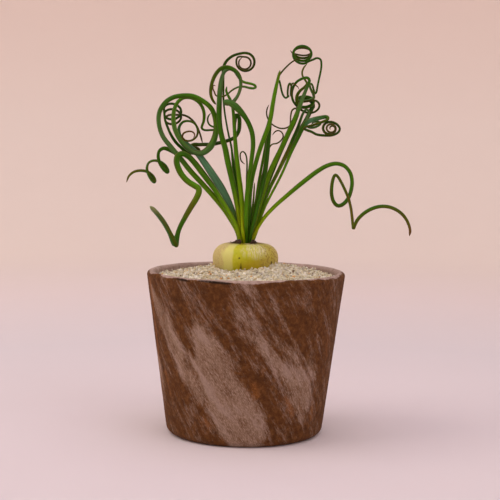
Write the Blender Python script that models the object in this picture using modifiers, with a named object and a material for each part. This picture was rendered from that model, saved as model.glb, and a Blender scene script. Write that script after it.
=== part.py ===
"""Potted corkscrew albuca: a flattened bulb with long curly leaves, in gravel and soil in a clay pot.

Metres, +Z up, with the origin at the centre of the flat foot. Run: blender --background --python part.py
"""

import math
import random

import bpy
import numpy as np

MM = 0.001

# Pot
POT_HEIGHT = 0.0984
RIM_RADIUS = 0.060
BASE_RADIUS = 0.0469
FOOT_RADIUS = 0.0422
FOOT_ROUNDING = 0.0046
WALL = 0.005
FLOOR = 0.006
FLOOR_ROUNDING = 0.006
POT_SIDES = 56

# Soil and gravel
FIT = 0.0003
SOIL_TOP = 0.0930
GRAVEL_EDGE = 0.0954
GRAVEL_RISE = 0.0050
GRAVEL_STEP = 0.0027
GRAVEL_SIDES = 84
GRAIN = 0.0005
GRAIN_SEED = 7

# Bulb: its middle stands a little left of the pot's, and its outline is radius and height in millimetres
BULB_MIDDLE = -0.5
BULB_SIDES = 40
BULB_OUTLINE = [(6.0, 90.6), (11.0, 91.6), (15.2, 94.2), (17.8, 97.8), (19.2, 101.8), (19.6, 105.8),
                (19.0, 109.2), (17.2, 112.0), (14.4, 113.9), (11.0, 114.7), (9.0, 115.0), (7.5, 115.3)]
BULB_LUMPS = 0.012
PIT_ACROSS = 6.8
PIT_DEEP = 5.7

# Leaves, in millimetres: places are (across, up, back) as seen from the front, at the view point.
# The first 4 mm of a leaf stand in the pit in the bulb's neck, where the leaves fill rows from front to back.
VIEW_POINT = (2.2, -770.0, 178.0)
NECK_MIDDLE = -0.5
NECK_PITCH = 2.05
NECK_ROWS = (4, 5, 6, 5, 4)
PIT_FLOOR = 111.0
NECK_TOP = 115.0
NECK_RADIUS = 0.75
NECK_GROWTH = 0.05
NECK_REACH = 45
SAMPLE = 1.0
LEAF_GAP = 0.5
LEAF_TURN = math.radians(26)
LEAF_STEP = 7
SPAN_STEPS = 16
FREE_FROM = 115.5
FREE_OVER = 10
SETTLE_ROUNDS = 400
LEAF_GREENS = {
    "dark": (38, 76, 24),
    "blue": (50, 98, 66),
    "olive": (84, 92, 36),
    "mid": (62, 105, 28),
}
DARK_LEAVES = ("left_ring", "centre_hook", "centre_crossing", "right_arch", "right_tall")
BLUE_LEAVES = ("left_wide",)
OLIVE_LEAVES = ("middle_thin_ring", "centre_thin_loop", "middle_loop", "right_short", "right_coils")

# Dried scraps of old leaf base on the bulb's shoulder, in millimetres
DRIED_RADIUS = 9.6
DRIED_THICKNESS = 0.8
DRIED_HEIGHT = 1.6
DRIED_FOOT = 115.35
DRIED_STEPS = 8


def coil(middle, end, radius, turns, start, flat, lie):
    """Points of a coil whose middle moves to end as radius and flatness change; minus runs clockwise."""
    count = round(abs(turns) * 12)
    tilt = math.radians(lie)
    points = []
    for i in range(count + 1):
        t = i / count
        angle = math.radians(start + 360 * turns * t) - tilt
        r = radius[0] + (radius[1] - radius[0]) * t
        squash = flat[0] + (flat[1] - flat[0]) * t
        along = r * math.cos(angle)
        aside = r * math.sin(angle) * squash
        away = r * math.sin(angle) * math.sqrt(1 - squash * squash)
        across = along * math.cos(tilt) - aside * math.sin(tilt)
        up = along * math.sin(tilt) + aside * math.cos(tilt)
        centre = [a + (b - a) * t for a, b in zip(middle, end)]
        points.append((centre[0] + across, centre[1] + up, centre[2] + away))
    return points


LEAVES = {
    "left_ring": dict(
        spot=(1, 0),
        widths=(1.7, 2.6, 2.9, 3.1, 3.2, 3.2, 3.1, 2.9, 2.7, 2.8, 2.9, 2.9, 3.0, 3.2, 4.2, 3.2, 2.8, 2.8,
                2.3, 2.1, 2.0, 1.4, 1.2, 0.9),
        route=[(-5.2, 120, -2), (-8.6, 127, -2.5), (-13.4, 134.5, -3), (-20, 142.5, -3.5),
               (-27.2, 150.4, -4), (-34.3, 157.9, -4), (-40, 164.9, -4), (-45.6, 171.5, -4.5),
               (-50.9, 178.3, -5), (-53.4, 186, -5.5), (-53, 192.9, -5.5), (-49.6, 198.5, -5),
               (-44.8, 201.6, -4), (-39, 202.7, -2.5), (-33, 202.4, -1), (-26.8, 199.4, 0.5),
               (-22.1, 195.3, 2), (-19.7, 189.5, 3), (-19.1, 183, 3.5), (-20.3, 176.8, 3.5),
               (-23.2, 171.6, 3), (-27.6, 168.6, 2), (-32.2, 169.1, 0.5), (-36.5, 171.8, -1),
               (-40.5, 176.3, -1.5), (-43.5, 182, -1.5), (-44.7, 188.5, -1), (-44.2, 194.3, 0),
               (-42.3, 198.6, 1), (-38.7, 201.4, 2), (-33.7, 201.3, 3), (-29.1, 198.4, 4),
               (-26.6, 193.5, 5), (-26.5, 188, 6), (-27.7, 183.7, 7.3), (-26.1, 182.4, 9),
               (-22.5, 182.4, 9.5), (-19, 182.8, 9), (-18.5, 183.7, 8), (-20.3, 184.2, 7.3),
               (-23, 185.5, 7), (-24.2, 188, 6.5), (-23.7, 190.8, 6), (-22.2, 192.5, 5.5)]),
    "left_drooping": dict(
        spot=(0, 0),
        widths=(1.7, 2.6, 2.8, 2.8, 2.8, 3.0, 3.4, 3.7, 3.7, 3.8, 3.5, 2.9, 2.8, 3.2, 3.3, 3.0),
        route=[(-5.2, 122.5, -4.5), (-9.6, 131.3, -5), (-14.7, 139.5, -5), (-19.3, 146.3, -5),
               (-23.6, 151.8, -5), (-27.5, 156.8, -5.2), (-31.4, 162, -5.7), (-35.5, 166.4, -7),
               (-39.3, 168.1, -8.5), (-41.9, 166.8, -9.5), (-42.6, 163.2, -10), (-41.3, 158.8, -10.5),
               (-38.8, 154.6, -11.5), (-35.3, 151.2, -12), (-31.3, 148.8, -11.8), (-29.4, 147.5, -12.8),
               (-29, 145.4, -14.5), (-30.2, 142, -16), (-33.5, 136.4, -17), (-37.1, 130, -18),
               (-40.7, 122.6, -19), (-42.5, 115.4, -20), (-42.9, 112.8, -22), (-43.8, 114.4, -24.5),
               (-46.3, 119.9, -25.5), (-49.7, 126, -26), (-54, 131.7, -26.3), (-58.4, 136.3, -26.5)]),
    "left_corkscrew": dict(
        spot=(2, 0),
        widths=(1.6, 1.9, 2.0, 2.1, 2.2, 2.3, 2.4, 2.3, 2.2, 2.3, 2.4, 2.5, 1.9, 2.2, 2.2, 2.2, 1.8, 1.5,
                2.0, 2.1, 2.0, 1.9, 1.6, 1.0),
        route=[(-5.6, 120, 1.5), (-9.3, 128, 3), (-15, 136.5, 4.5), (-22.6, 145.5, 6), (-30.2, 154, 7.5),
               (-36.3, 161, 9), (-41.1, 166.6, 10), (-46, 169.8, 10), (-50.2, 171.2, 8.5), (-53, 169.5, 6),
               (-53.6, 165.8, 4), (-52.4, 161.9, 3), (-50, 158.3, 3), (-48.1, 156.9, 5), (-47.8, 158, 8),
               (-49.2, 160.6, 10), (-52.1, 163, 11), (-56, 163.8, 10), (-59.2, 162.5, 7.5),
               (-60.4, 159, 5.5), (-59.3, 155.2, 4.5), (-57.4, 152, 4.5), (-55.7, 150.7, 6.5),
               (-55.4, 152, 9), (-56.8, 154.6, 11), (-60, 157, 12), (-64.4, 157.7, 11.5),
               (-68.4, 156.7, 10.5), (-71.2, 154.2, 9.5), (-72.6, 150.4, 8.5)]),
    "left_inner_coil": dict(
        spot=(3, 0),
        widths=(1.6, 2.0, 2.0, 1.9, 1.9, 1.9, 1.9, 1.9, 1.5, 1.4, 1.5, 1.5, 1.4, 1.4, 1.4, 1.4, 1.4, 1.3,
                1.0),
        route=[(-5, 120, 3), (-8, 128, 5), (-12.9, 137, 7), (-19, 147, 9), (-26.1, 157, 10.5),
               (-32.3, 164.5, 11.5), (-38, 170, 12), (-42.9, 174.6, 10.5), (-45.9, 179, 8.5),
               (-47.9, 183.3, 6), (-49.6, 188, 4.2)] + coil((-45.3, 194.8, 5), (-44.9, 187.7, 12),
               (5.2, 4.8), -2.3, 195, (0.76, 0.74), 0) + [(-42.2, 191.3, 15), (-39.2, 191.3, 14.5),
               (-35.7, 190, 13.5), (-32.5, 187.3, 12.5), (-30.1, 183.6, 11), (-28.4, 179.3, 10.5),
               (-27.1, 174.6, 10)]),
    "left_wide": dict(
        spot=(2, 1), widths=(1.7, 3.0, 4.0, 4.6, 4.8, 4.6, 3.9, 2.9, 2.2, 1.5, 1.3, 1.3, 1.2, 0.9),
        route=[(-4.3, 121, 0), (-7, 130, 0.5), (-10.5, 138.5, 1), (-15.1, 147, 1.5), (-20.4, 155, 2),
               (-25.2, 162, 2.5), (-29.2, 167.3, 3.5), (-33.6, 171.5, 4.5), (-37.8, 175.3, 5.5),
               (-40.9, 179.5, 5.5), (-41.2, 183.8, 4.5), (-39, 187, 3.5), (-35.3, 187.6, 3),
               (-31.8, 186, 2.5), (-30.1, 182.5, 2), (-30.6, 178.8, 1.5), (-33.3, 176.3, 1),
               (-36.6, 175.8, 0.5), (-39.1, 177.3, 0), (-38.8, 179.9, -0.5), (-36.3, 181.3, -1),
               (-33.5, 181.3, -1.5), (-31.9, 179.7, -2), (-32.6, 177.4, -2.5)]),
    "centre_crossing": dict(
        spot=(3, 1), widths=(1.6, 2.2, 2.4, 2.4, 2.3, 2.1, 2.1, 2.5, 2.2, 2.3, 2.2, 2.0, 1.8, 1.5, 1.0),
        route=[(-3, 122, 3), (-4, 135, 5), (-5.3, 150, 7), (-6.8, 165, 9), (-7.8, 178, 10.5),
               (-8, 187, 11.5), (-6.9, 191.8, 12), (-5.5, 190.4, 11), (-5.1, 186, 9.5), (-5.7, 181.6, 8),
               (-8, 178.2, 7), (-12, 176.3, 6.5), (-17, 174.9, 7.5), (-22, 173.9, 10.5),
               (-26.5, 173.8, 14.5)] + coil((-30.3, 171.9, 16.5), (-36.4, 169, 18), (3.4, 3.2), 2.4, 70,
               (0.56, 0.5), -14)),
    "centre_hook": dict(
        spot=(1, 1),
        widths=(1.7, 2.6, 3.2, 3.3, 3.4, 3.6, 3.4, 3.1, 3.3, 3.0, 2.3, 1.5, 1.6, 1.5, 1.1, 1.0, 0.8),
        route=[(-3.6, 122, -2.5), (-5, 133, -3), (-7.1, 144, -3.5), (-9.5, 154, -4), (-11.9, 164, -4.5),
               (-13.6, 172, -5), (-15.7, 179, -5), (-17, 186, -4.5), (-17.4, 193, -4), (-17.3, 200, -3),
               (-17, 207, -2), (-16.1, 213, -1), (-14.4, 217.2, 0.5), (-11.5, 218.8, 2), (-8.7, 217.6, 3.5),
               (-6.4, 214.5, 5), (-4.4, 212.1, 6), (-2.2, 211, 6.5), (0.2, 210.5, 6), (2.4, 210, 5),
               (4, 209.2, 4), (4.2, 208.2, 2.5), (3, 207.6, 1), (0.4, 207.8, 0), (-2.8, 208.5, -1),
               (-6, 208.2, -0.5),
               (-9, 206.8, 0), (-11.4, 204.9, 0.8), (-13.6, 203.2, 1.8), (-16.6, 202.3, 2.6),
               (-19.4, 203.1, 2.4), (-20.4, 205.2, 1.6), (-21.3, 207.3, 1.6), (-20.9, 209.3, 2),
               (-19.6, 208.6, 2.6)]),
    "centre_top_coil": dict(
        spot=(2, 2),
        widths=(1.6, 1.9, 2.1, 2.3, 2.2, 1.3, 1.1, 1.1, 1.3, 1.9, 1.6, 1.6, 1.3, 1.2, 1.2, 1.0),
        route=[(-2.2, 122, 1.5), (-4.2, 135, 4), (-6.6, 150, 6), (-8.6, 163, 7.5), (-9.9, 173, 8.5),
               (-11.6, 180, 8.5), (-13, 187, 8.5), (-14.1, 193.5, 8), (-14.8, 200, 7.5), (-15, 207, 7),
               (-15.2, 213.5, 7), (-15.2, 218.5, 7.5), (-14.4, 221.7, 8), (-12.4, 224.5, 8.5),
               (-9.4, 226.7, 9), (-6.2, 227.8, 9.5)] + coil((-2, 223.1, 10), (-2.1, 223.1, 13), (5.4, 5.4),
               -0.85, 95, (0.99, 0.99), 0) + coil((-2.4, 222.4, 14), (-2.5, 222.5, 18), (3.8, 3.6), -0.95,
               95, (0.99, 0.99), 0)),
    "centre_stub": dict(
        spot=(0, 1), widths=(1.7, 2.8, 3.0, 3.0, 3.0, 2.9, 2.6, 2.3, 2.0, 1.7, 1.4),
        route=[(-2.3, 122, -4.6), (-2.7, 133, -5), (-3.7, 145, -5.5), (-5.2, 156, -6), (-6.6, 167, -6),
               (-7.6, 177, -6), (-8.3, 186, -5.5), (-9, 194, -4.5), (-10.2, 199.5, -3.5),
               (-12.1, 203.1, -3), (-13.3, 206, -3), (-12.9, 208.5, -3)]),
    "centre_ring": dict(
        spot=(0, 2),
        widths=(1.7, 2.6, 2.9, 2.8, 2.7, 2.6, 2.7, 2.9, 2.9, 4.4, 2.6, 2.0, 2.2, 2.5, 2.4, 2.0, 1.4),
        route=[(-0.2, 122, -4.5), (-0.5, 133, -6.5), (0.1, 145, -9), (1.3, 156, -11), (2.5, 166, -12.5),
               (3.2, 174, -13.5), (2.5, 181, -14), (-0.1, 187.6, -14), (-3.3, 192.3, -13.5),
               (-6.6, 195.8, -13), (-9.8, 198.2, -12.5), (-12.6, 199.3, -11.5), (-13.9, 198.9, -9.5),
               (-12, 198.2, -8), (-9.3, 199.4, -7), (-6.9, 202.2, -6), (-5.3, 205.9, -5), (-4.6, 210, -3.5),
               (-5.3, 214.2, -2), (-7.7, 217.6, -1), (-11.7, 219.7, -1.5), (-15.7, 219.5, -2.5),
               (-19, 216.6, -3.5), (-21.3, 212.1, -4), (-22.5, 206.9, -3.5), (-22.3, 202.8, -2.5),
               (-21, 199.8, -1), (-19.2, 197.6, 1)]),
    "centre_thin_loop": dict(
        spot=(1, 2), widths=(1.6, 1.6, 1.4, 1.2, 1.1, 1.0, 0.9, 0.8),
        route=[(-0.4, 122, -2), (-0.5, 135, -1.5), (-0.4, 148, -1), (-0.3, 158, -0.5), (-0.3, 163, 0),
               (-0.7, 166.8, 0.5), (-1.8, 169.2, 1), (-3.1, 169.9, 1), (-4.2, 168.9, 0.5), (-4.4, 166.4, 0),
               (-3.7, 164.2, -0.5), (-2.5, 163, -1), (-1.5, 162.3, -1.3)]),
    "short_tip": dict(
        spot=(2, 3), widths=(1.7, 1.8, 1.6, 1.2, 0.8),
        route=[(1.6, 121, -1), (2.8, 130, -2), (3.8, 140, -3), (4.2, 147, -3.2), (4.35, 151.4, -3)]),
    "right_blade": dict(
        spot=(1, 3), widths=(1.7, 2.2, 2.4, 2.5, 2.6, 2.7, 2.8, 2.7, 2.3, 1.5),
        route=[(1.8, 121, -3), (1.6, 132, -4), (1.7, 143, -5.2), (2.7, 152.5, -6.5), (4.6, 161.5, -7.5),
               (6.9, 170, -8.5), (9.5, 177.5, -9), (12, 184.5, -9), (13.5, 190.5, -8.5), (14.6, 198, -8),
               (15.8, 205, -7.5), (17, 211, -7), (18, 215.5, -6.5), (18.7, 218.6, -6)]),
    "right_squiggle": dict(
        spot=(0, 3),
        widths=(1.7, 2.6, 2.9, 3.0, 3.0, 2.8, 2.4, 1.8, 1.4, 1.2, 1.2, 1.3, 1.4, 1.2, 0.8),
        route=[(2.8, 121, -4.5), (4.8, 131, -5), (7, 141, -4.8), (9.1, 150, -4.2), (10.7, 159, -3.5),
               (11.7, 168, -3), (12.4, 176, -2.5), (13, 184, -2), (13.4, 191, -1.5), (14.2, 198, -1),
               (15.4, 205, -1), (16.8, 210, -1.5), (18.1, 212.6, -2), (19.1, 209.5, -2.5), (19.9, 206, -3),
               (21, 203.3, -4.5), (22.5, 202.1, -6.5)] + coil((23.6, 206.8, -4), (26.6, 207.3, 5),
               (3.9, 3.7), -1.6, -60, (0.2, 0.2), 90) + [(28.2, 209.6, 6), (29.4, 208.8, 6.5),
               (30.2, 207.2, 7)]),
    "right_top": dict(
        spot=(2, 4), widths=(1.6, 2.0, 1.9, 1.8, 1.7, 1.6, 1.4, 1.3, 1.2, 1.1, 1.0, 0.8),
        route=[(2.9, 121, 0.5), (4.3, 131, 1), (5.6, 141, 1.5), (6.7, 150, 2), (8, 158, 2.5), (9.4, 166, 3),
               (10.7, 174, 3.5), (11.9, 181.5, 4), (13, 189, 4.5), (14.2, 197, 5), (15.5, 204.5, 5.5),
               (16.8, 210.5, 6), (18.2, 215.2, 6.5), (20.3, 218.2, 7), (22.9, 221, 7.5), (25.9, 223.6, 8),
               (29, 225.2, 8.5), (32, 225.8, 9)]),
    "middle_thin_ring": dict(
        spot=(3, 2), widths=(1.6, 1.6, 1.4, 1.2, 1.0, 0.9, 0.9, 0.8),
        route=[(1.2, 121, 2.5), (3.8, 133, 3.5), (6.8, 146, 4.5), (9.3, 157, 5), (11.3, 166, 5),
               (12.7, 171.8, 5), (14.6, 174.4, 4.5), (17.4, 175, 4), (19.9, 176.8, 3.5), (21.2, 179.4, 3),
               (20.1, 181.8, 2.5), (18, 182.7, 2), (16, 181.7, 1.5), (14.7, 179.8, 1.2)]),
    "right_arch": dict(
        spot=(3, 3),
        widths=(1.7, 2.4, 2.8, 3.0, 3.0, 2.9, 2.8, 2.7, 2.7, 2.5, 2.0, 1.6, 1.5, 1.4, 1.3, 1.3, 1.0),
        route=[(3.2, 121, 2), (5.6, 131, 2), (8.4, 141, 1.8), (11, 150, 1.5), (13.5, 157.5, 1),
               (16.4, 164.4, 0.5), (19.6, 171, 0), (22.6, 177.9, 0), (25.4, 184.2, 0.5), (28, 190, 1),
               (30.2, 195.7, 2), (32.1, 201, 3), (33.9, 206, 4), (35.5, 210, 5), (36.3, 212.8, 6),
               (35, 214.3, 7), (32, 213.7, 8), (28.8, 211.8, 8.5), (26.7, 208.5, 8.5), (25.9, 204.5, 8),
               (26.7, 200.7, 7.5), (28.9, 197.6, 7), (32, 195, 6.5), (36, 193.4, 6), (39.8, 194.1, 5.5),
               (42, 196, 5), (42.5, 198.4, 5), (41, 200.4, 5.5), (38, 201, 6), (34.8, 200.4, 7),
               (31.8, 199.9, 8), (29.6, 200.2, 9)]),
    "right_inner": dict(
        spot=(4, 2), widths=(1.6, 2.0, 2.2, 2.3, 2.3, 2.3, 2.4, 2.3, 2.1, 1.9, 1.2, 1.0),
        route=[(2.6, 121, 5.5), (5.8, 132, 8), (9.4, 143, 10), (13.2, 153, 11.5), (16.8, 162.5, 12.5),
               (20.5, 171.6, 13), (24.2, 180.1, 13), (27.9, 188, 13), (29.9, 194.5, 12.5),
               (29.1, 199.5, 11.8), (29, 203.3, 11.2), (30.8, 206.4, 11), (33.4, 208.7, 11),
               (34.9, 210.8, 11), (33.8, 212.8, 12), (32.3, 215, 13), (31.9, 217.6, 14), (33, 220.5, 15),
               (34.8, 222.6, 16)]),
    "middle_loop": dict(
        spot=(4, 1), widths=(1.6, 1.8, 1.8, 1.7, 1.5, 1.3, 1.2, 1.1, 1.0, 0.9, 0.8),
        route=[(1.2, 121, 5.5), (4.6, 132, 9.5), (8.7, 144, 13), (13.2, 156, 15.5), (18, 167, 17),
               (22.5, 177, 18), (26.5, 186, 18), (29, 192.5, 17.5), (28.6, 196, 16), (26.4, 195, 14.5),
               (25.5, 191.5, 13), (25.4, 188, 12), (25.1, 185.7, 11), (23, 184.3, 10), (19.5, 184, 9.5),
               (16, 185.3, 9), (12.9, 187.9, 8.5), (11.3, 191.2, 8), (11.1, 194.7, 7.5), (12.3, 198, 7)]),
    "right_tall": dict(
        spot=(4, 3),
        widths=(1.6, 2.0, 2.1, 2.2, 2.5, 2.8, 2.6, 2.2, 2.0, 1.9, 2.1, 1.3, 1.2, 1.3, 1.5, 1.5, 1.5, 1.5,
                1.4, 1.4, 1.2, 1.0),
        route=[(5.2, 121, 5), (7.8, 131, 7), (10.8, 140.5, 8.5), (14, 149, 9), (17.8, 156.9, 9.5),
               (21.2, 164, 10), (24.2, 170.3, 10.3), (27.2, 176.3, 10.6), (30.1, 181.4, 11),
               (32.9, 185.9, 11.8), (35.2, 190.2, 13), (37, 193.9, 15), (38.2, 196.4, 17)] +
               coil((34.3, 197.6, 20), (34.2, 202.7, 17), (4.5, 4.9), 2, -5, (0.8, 0.26), 0) +
               [(38.9, 204.2, 16.6), (37.9, 206.2, 16.4), (36.9, 208.3, 16.2), (36.5, 210.2, 16.4),
               (37.5, 210.9, 17.2), (38.5, 209, 18), (39.2, 206.6, 18.8), (39.9, 204.9, 19.6),
               (40.6, 205.8, 20.3), (41.1, 208.6, 20.6), (41.9, 213, 20.8), (42.9, 218, 21),
               (43.3, 222.3, 21.3), (42.7, 225.2, 21.5), (40.6, 226, 21.5), (38.2, 225, 21.2)] +
               coil((31.8, 227.9, 20.5), (31.9, 229.6, 31), (5.5, 5.2), -3.2, -45, (1.0, 0.4), 0) +
               [(25.4, 229.2, 32), (24.6, 230.4, 32.5)]),
    "right_coils": dict(
        spot=(2, 5),
        widths=(1.6, 1.6, 1.5, 1.5, 1.5, 1.6, 2.0, 2.5, 3.1, 2.3, 1.9, 1.7, 1.6, 1.5, 1.5, 1.7, 1.5, 1.3,
                1.0),
        route=[(5.9, 121, 0), (8.2, 129.5, -0.5), (11, 137.1, -1.5), (14.3, 144, -2.5), (17.8, 150.8, -3.5),
               (20.9, 157.2, -4.5), (23.5, 163.4, -5.5), (25.8, 169.2, -6.5), (28.2, 174.6, -7),
               (30.5, 179.6, -7.5), (32.7, 184.3, -8), (35.4, 187.9, -8.5), (39.4, 189.6, -9.5),
               (43.4, 190.7, -10.5), (46.9, 191.2, -12.5), (47.6, 190, -15.5), (45.4, 188.7, -17.5),
               (41.7, 187.4, -18), (37.8, 186, -17.5), (34.6, 185.2, -17), (33.2, 184.2, -16.5),
               (34.9, 183.3, -16), (38, 182.2, -15.5), (41, 180.7, -15), (45.5, 180.1, -14.5),
               (50.5, 180.3, -13.5), (54, 182, -12.5), (55, 184.2, -12), (53.3, 186.8, -12),
               (49.8, 188.3, -12.5)] + coil((48.6, 184.2, -13), (50.7, 184.2, -22), (4.1, 1.5), 2.3, 100,
               (0.95, 0.9), 0)),
    "right_short": dict(
        spot=(3, 4), widths=(1.6, 1.8, 1.7, 1.6, 1.5, 1.5, 1.7, 2.0, 1.8, 1.5, 1.5, 1.4, 1.0),
        route=[(4.8, 121, 2.5), (7.9, 132, 3.2), (11.6, 143, 3.5), (15.9, 153, 3.5), (20.2, 162.4, 3.2),
               (24.1, 171, 3), (27.3, 178.5, 3), (29.6, 184, 2.8), (31.2, 188.6, 2.4), (32.6, 192.6, 1.8),
               (34.6, 195.4, 0.8), (36.2, 194.4, -0.5), (35.7, 190.8, -1.5), (34.6, 187.6, -2),
               (35.4, 185.4, -2), (38, 184.6, -2), (41, 185.3, -2), (43.4, 187, -2.5), (42.4, 188.3, -3),
               (39.6, 188, -4), (37.9, 186.8, -5)]),
    "right_long": dict(
        spot=(1, 4),
        widths=(1.7, 2.2, 2.3, 2.5, 2.8, 2.8, 2.6, 2.3, 2.4, 2.5, 2.4, 2.1, 2.1, 2.1, 2.2, 2.4, 2.3, 2.1,
                1.7),
        route=[(6, 122.7, -2.5), (10.1, 129.7, -3), (15.7, 136.2, -3.5), (22.6, 142.6, -4.5),
               (29.7, 148.8, -6), (36, 154, -7.5), (41.7, 158.4, -9), (47.5, 161.9, -11),
               (53, 163.4, -12.5), (58.1, 162.1, -14), (61.7, 158.1, -15), (63, 152.7, -15.5),
               (62.4, 147, -16), (60.5, 142, -17), (57.3, 138.7, -18.5), (54.5, 138.1, -20),
               (52.1, 140.4, -21.5), (50.8, 144.5, -22.5), (50.7, 149.5, -23), (51.5, 154.4, -23.5),
               (52.7, 156.7, -24), (54.2, 156, -25), (56.8, 152, -25.5), (59.3, 147, -25.8),
               (61.4, 142, -26), (62.8, 136.5, -26.5), (63.7, 130.5, -27), (64.2, 126.3, -28),
               (64.5, 124.6, -30), (65.1, 126.2, -32), (67, 130, -33), (70.5, 133.6, -34),
               (75, 136.4, -34.5), (80, 137.9, -34.5), (85.1, 137.8, -34), (90, 136, -33),
               (94.1, 132.9, -32), (97, 128.6, -31), (98.5, 123.8, -30.5), (98.2, 120.4, -30)]),
}


def neck_spot(row, place):
    """Where a leaf stands in the neck: across and back."""
    across = NECK_MIDDLE + (place - (NECK_ROWS[row] - 1) / 2) * NECK_PITCH
    return across, (row - 2) * NECK_PITCH * math.sqrt(0.75)


def smooth_path(points):
    """A centripetal Catmull-Rom curve through the points, in even steps of about a sample."""
    p = np.array(points, float)
    p = np.vstack([2 * p[0] - p[1], p, 2 * p[-1] - p[-2]])
    fine = []
    for a, b, c, d in zip(p, p[1:], p[2:], p[3:]):
        ta = 0.0
        tb = ta + np.linalg.norm(b - a) ** 0.5
        tc = tb + np.linalg.norm(c - b) ** 0.5
        td = tc + np.linalg.norm(d - c) ** 0.5
        for t in np.linspace(tb, tc, SPAN_STEPS, endpoint=False):
            ab = a + (b - a) * (t - ta) / (tb - ta)
            bc = b + (c - b) * (t - tb) / (tc - tb)
            cd = c + (d - c) * (t - tc) / (td - tc)
            abc = ab + (bc - ab) * (t - ta) / (tc - ta)
            bcd = bc + (cd - bc) * (t - tb) / (td - tb)
            fine.append(abc + (bcd - abc) * (t - tb) / (tc - tb))
    fine.append(p[-2])
    fine = np.array(fine)
    run = np.concatenate([[0], np.cumsum(np.linalg.norm(np.diff(fine, axis=0), axis=1))])
    even = np.linspace(0, run[-1], round(run[-1] / SAMPLE) + 1)
    return np.stack([np.interp(even, run, fine[:, k]) for k in range(3)], 1)


def front_height(height, back):
    """Where a real height at some depth shows in the front view."""
    return VIEW_POINT[2] + (height - VIEW_POINT[2]) * VIEW_POINT[1] / (VIEW_POINT[1] - back)


def leaf_path(leaf):
    """The leaf's middle line in the front view, with its half widths: slim in the neck, then growing."""
    across, back = neck_spot(*leaf["spot"])
    base = [(across, front_height(height, back), back) for height in (PIT_FLOOR + FIT / MM, NECK_TOP)]
    path = smooth_path(base + leaf["route"])
    widths = leaf["widths"]
    radii = np.interp(np.linspace(0, 1, len(path)), np.linspace(0, 1, len(widths)), widths) / 2
    slim = NECK_RADIUS + NECK_GROWTH * np.clip(path[:, 1] - NECK_TOP - 1, 0, None)
    past_neck = np.arange(len(path)) > NECK_REACH
    return path, np.where(past_neck, radii, np.minimum(radii, slim))


def close_pairs(paths, radii):
    """Points that cross in the front view, on two leaves or one, with the depth that keeps them clear."""
    names = list(paths)
    pairs = []
    for i, a in enumerate(names):
        for b in names[i:]:
            flat = np.linalg.norm(paths[a][:, None, :2] - paths[b][None, :, :2], axis=2)
            near = radii[a][:, None] + radii[b][None, :] + LEAF_GAP
            close = flat < near
            if a == b:
                index = np.arange(len(flat))
                along = (index[None, :] - index[:, None]) * SAMPLE
                close &= along > 2.2 * near + 1
            rows, cols = np.nonzero(close)
            if len(rows):
                need = np.sqrt(near[rows, cols] ** 2 - flat[rows, cols] ** 2)
                pairs.append((a, b, rows, cols, need))
    return pairs


def settle(paths, radii):
    """Leaves that would touch lean apart, only towards or away from the front, so the front outline stays."""
    pairs = close_pairs(paths, radii)
    free = {name: np.clip((path[:, 1] - FREE_FROM) / FREE_OVER, 0, 1) for name, path in paths.items()}
    back = {name: path[:, 2].copy() for name, path in paths.items()}
    spread = np.exp(-0.5 * (np.arange(-9, 10) / 3.5) ** 2)
    spread /= spread.sum()
    for _ in range(SETTLE_ROUNDS):
        push = {name: np.zeros(len(path)) for name, path in paths.items()}
        pull = {name: np.zeros(len(path)) for name, path in paths.items()}
        for a, b, rows, cols, need in pairs:
            apart = back[b][cols] - back[a][rows]
            lack = np.clip(need - np.abs(apart), 0, None)
            share = np.where(apart >= 0, 1, -1) * lack / np.maximum(free[a][rows] + free[b][cols], 0.2)
            for name, where, move in ((a, rows, -share * free[a][rows]), (b, cols, share * free[b][cols])):
                np.maximum.at(push[name], where, move)
                np.minimum.at(pull[name], where, move)
        for name in paths:
            move = push[name] + pull[name]
            back[name] += (0.25 * move + 0.6 * np.convolve(move, spread, mode="same")) * free[name]
            bend = np.zeros(len(move))
            bend[1:-1] = (back[name][:-2] + back[name][2:]) / 2 - back[name][1:-1]
            back[name] += 0.25 * bend * free[name]
    for name in paths:
        paths[name][:, 2] = back[name]


def seen(point):
    """The real place, in millimetres, of a point given by its place in the front view and its depth."""
    eye = np.array(VIEW_POINT)
    flat = np.array([point[0], 0.0, point[1]])
    return eye + (flat - eye) * (point[2] - eye[1]) / -eye[1]


def thin(path):
    """The points of a path that its shape needs, as indices: close in a bend, apart on a straight run."""
    along = np.diff(path, axis=0)
    along /= np.linalg.norm(along, axis=1)[:, None]
    kept = [0]
    turned_by = 0.0
    for i in range(1, len(path) - 1):
        turned_by += math.acos(float(np.clip(along[i] @ along[i - 1], -1, 1)))
        if turned_by > LEAF_TURN or i - kept[-1] >= LEAF_STEP:
            kept.append(i)
            turned_by = 0.0
    kept.append(len(path) - 1)
    return kept


def clear_scene():
    for old in list(bpy.data.objects):
        bpy.data.objects.remove(old, do_unlink=True)


def finish(name, colour, roughness):
    """A material from its sRGB colour, each channel 0 to 255."""
    material = bpy.data.materials.new(name)
    material.use_nodes = True
    shader = material.node_tree.nodes["Principled BSDF"]
    linear = [(c / 255 / 12.92) if c <= 10 else ((c / 255 + 0.055) / 1.055) ** 2.4 for c in colour]
    shader.inputs["Base Color"].default_value = (*linear, 1)
    shader.inputs["Roughness"].default_value = roughness
    shader.inputs["Metallic"].default_value = 0
    return material


def place(name, data, collection, material):
    piece = bpy.data.objects.new(name, data)
    piece.data.materials.append(material)
    collection.objects.link(piece)
    return piece


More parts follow.
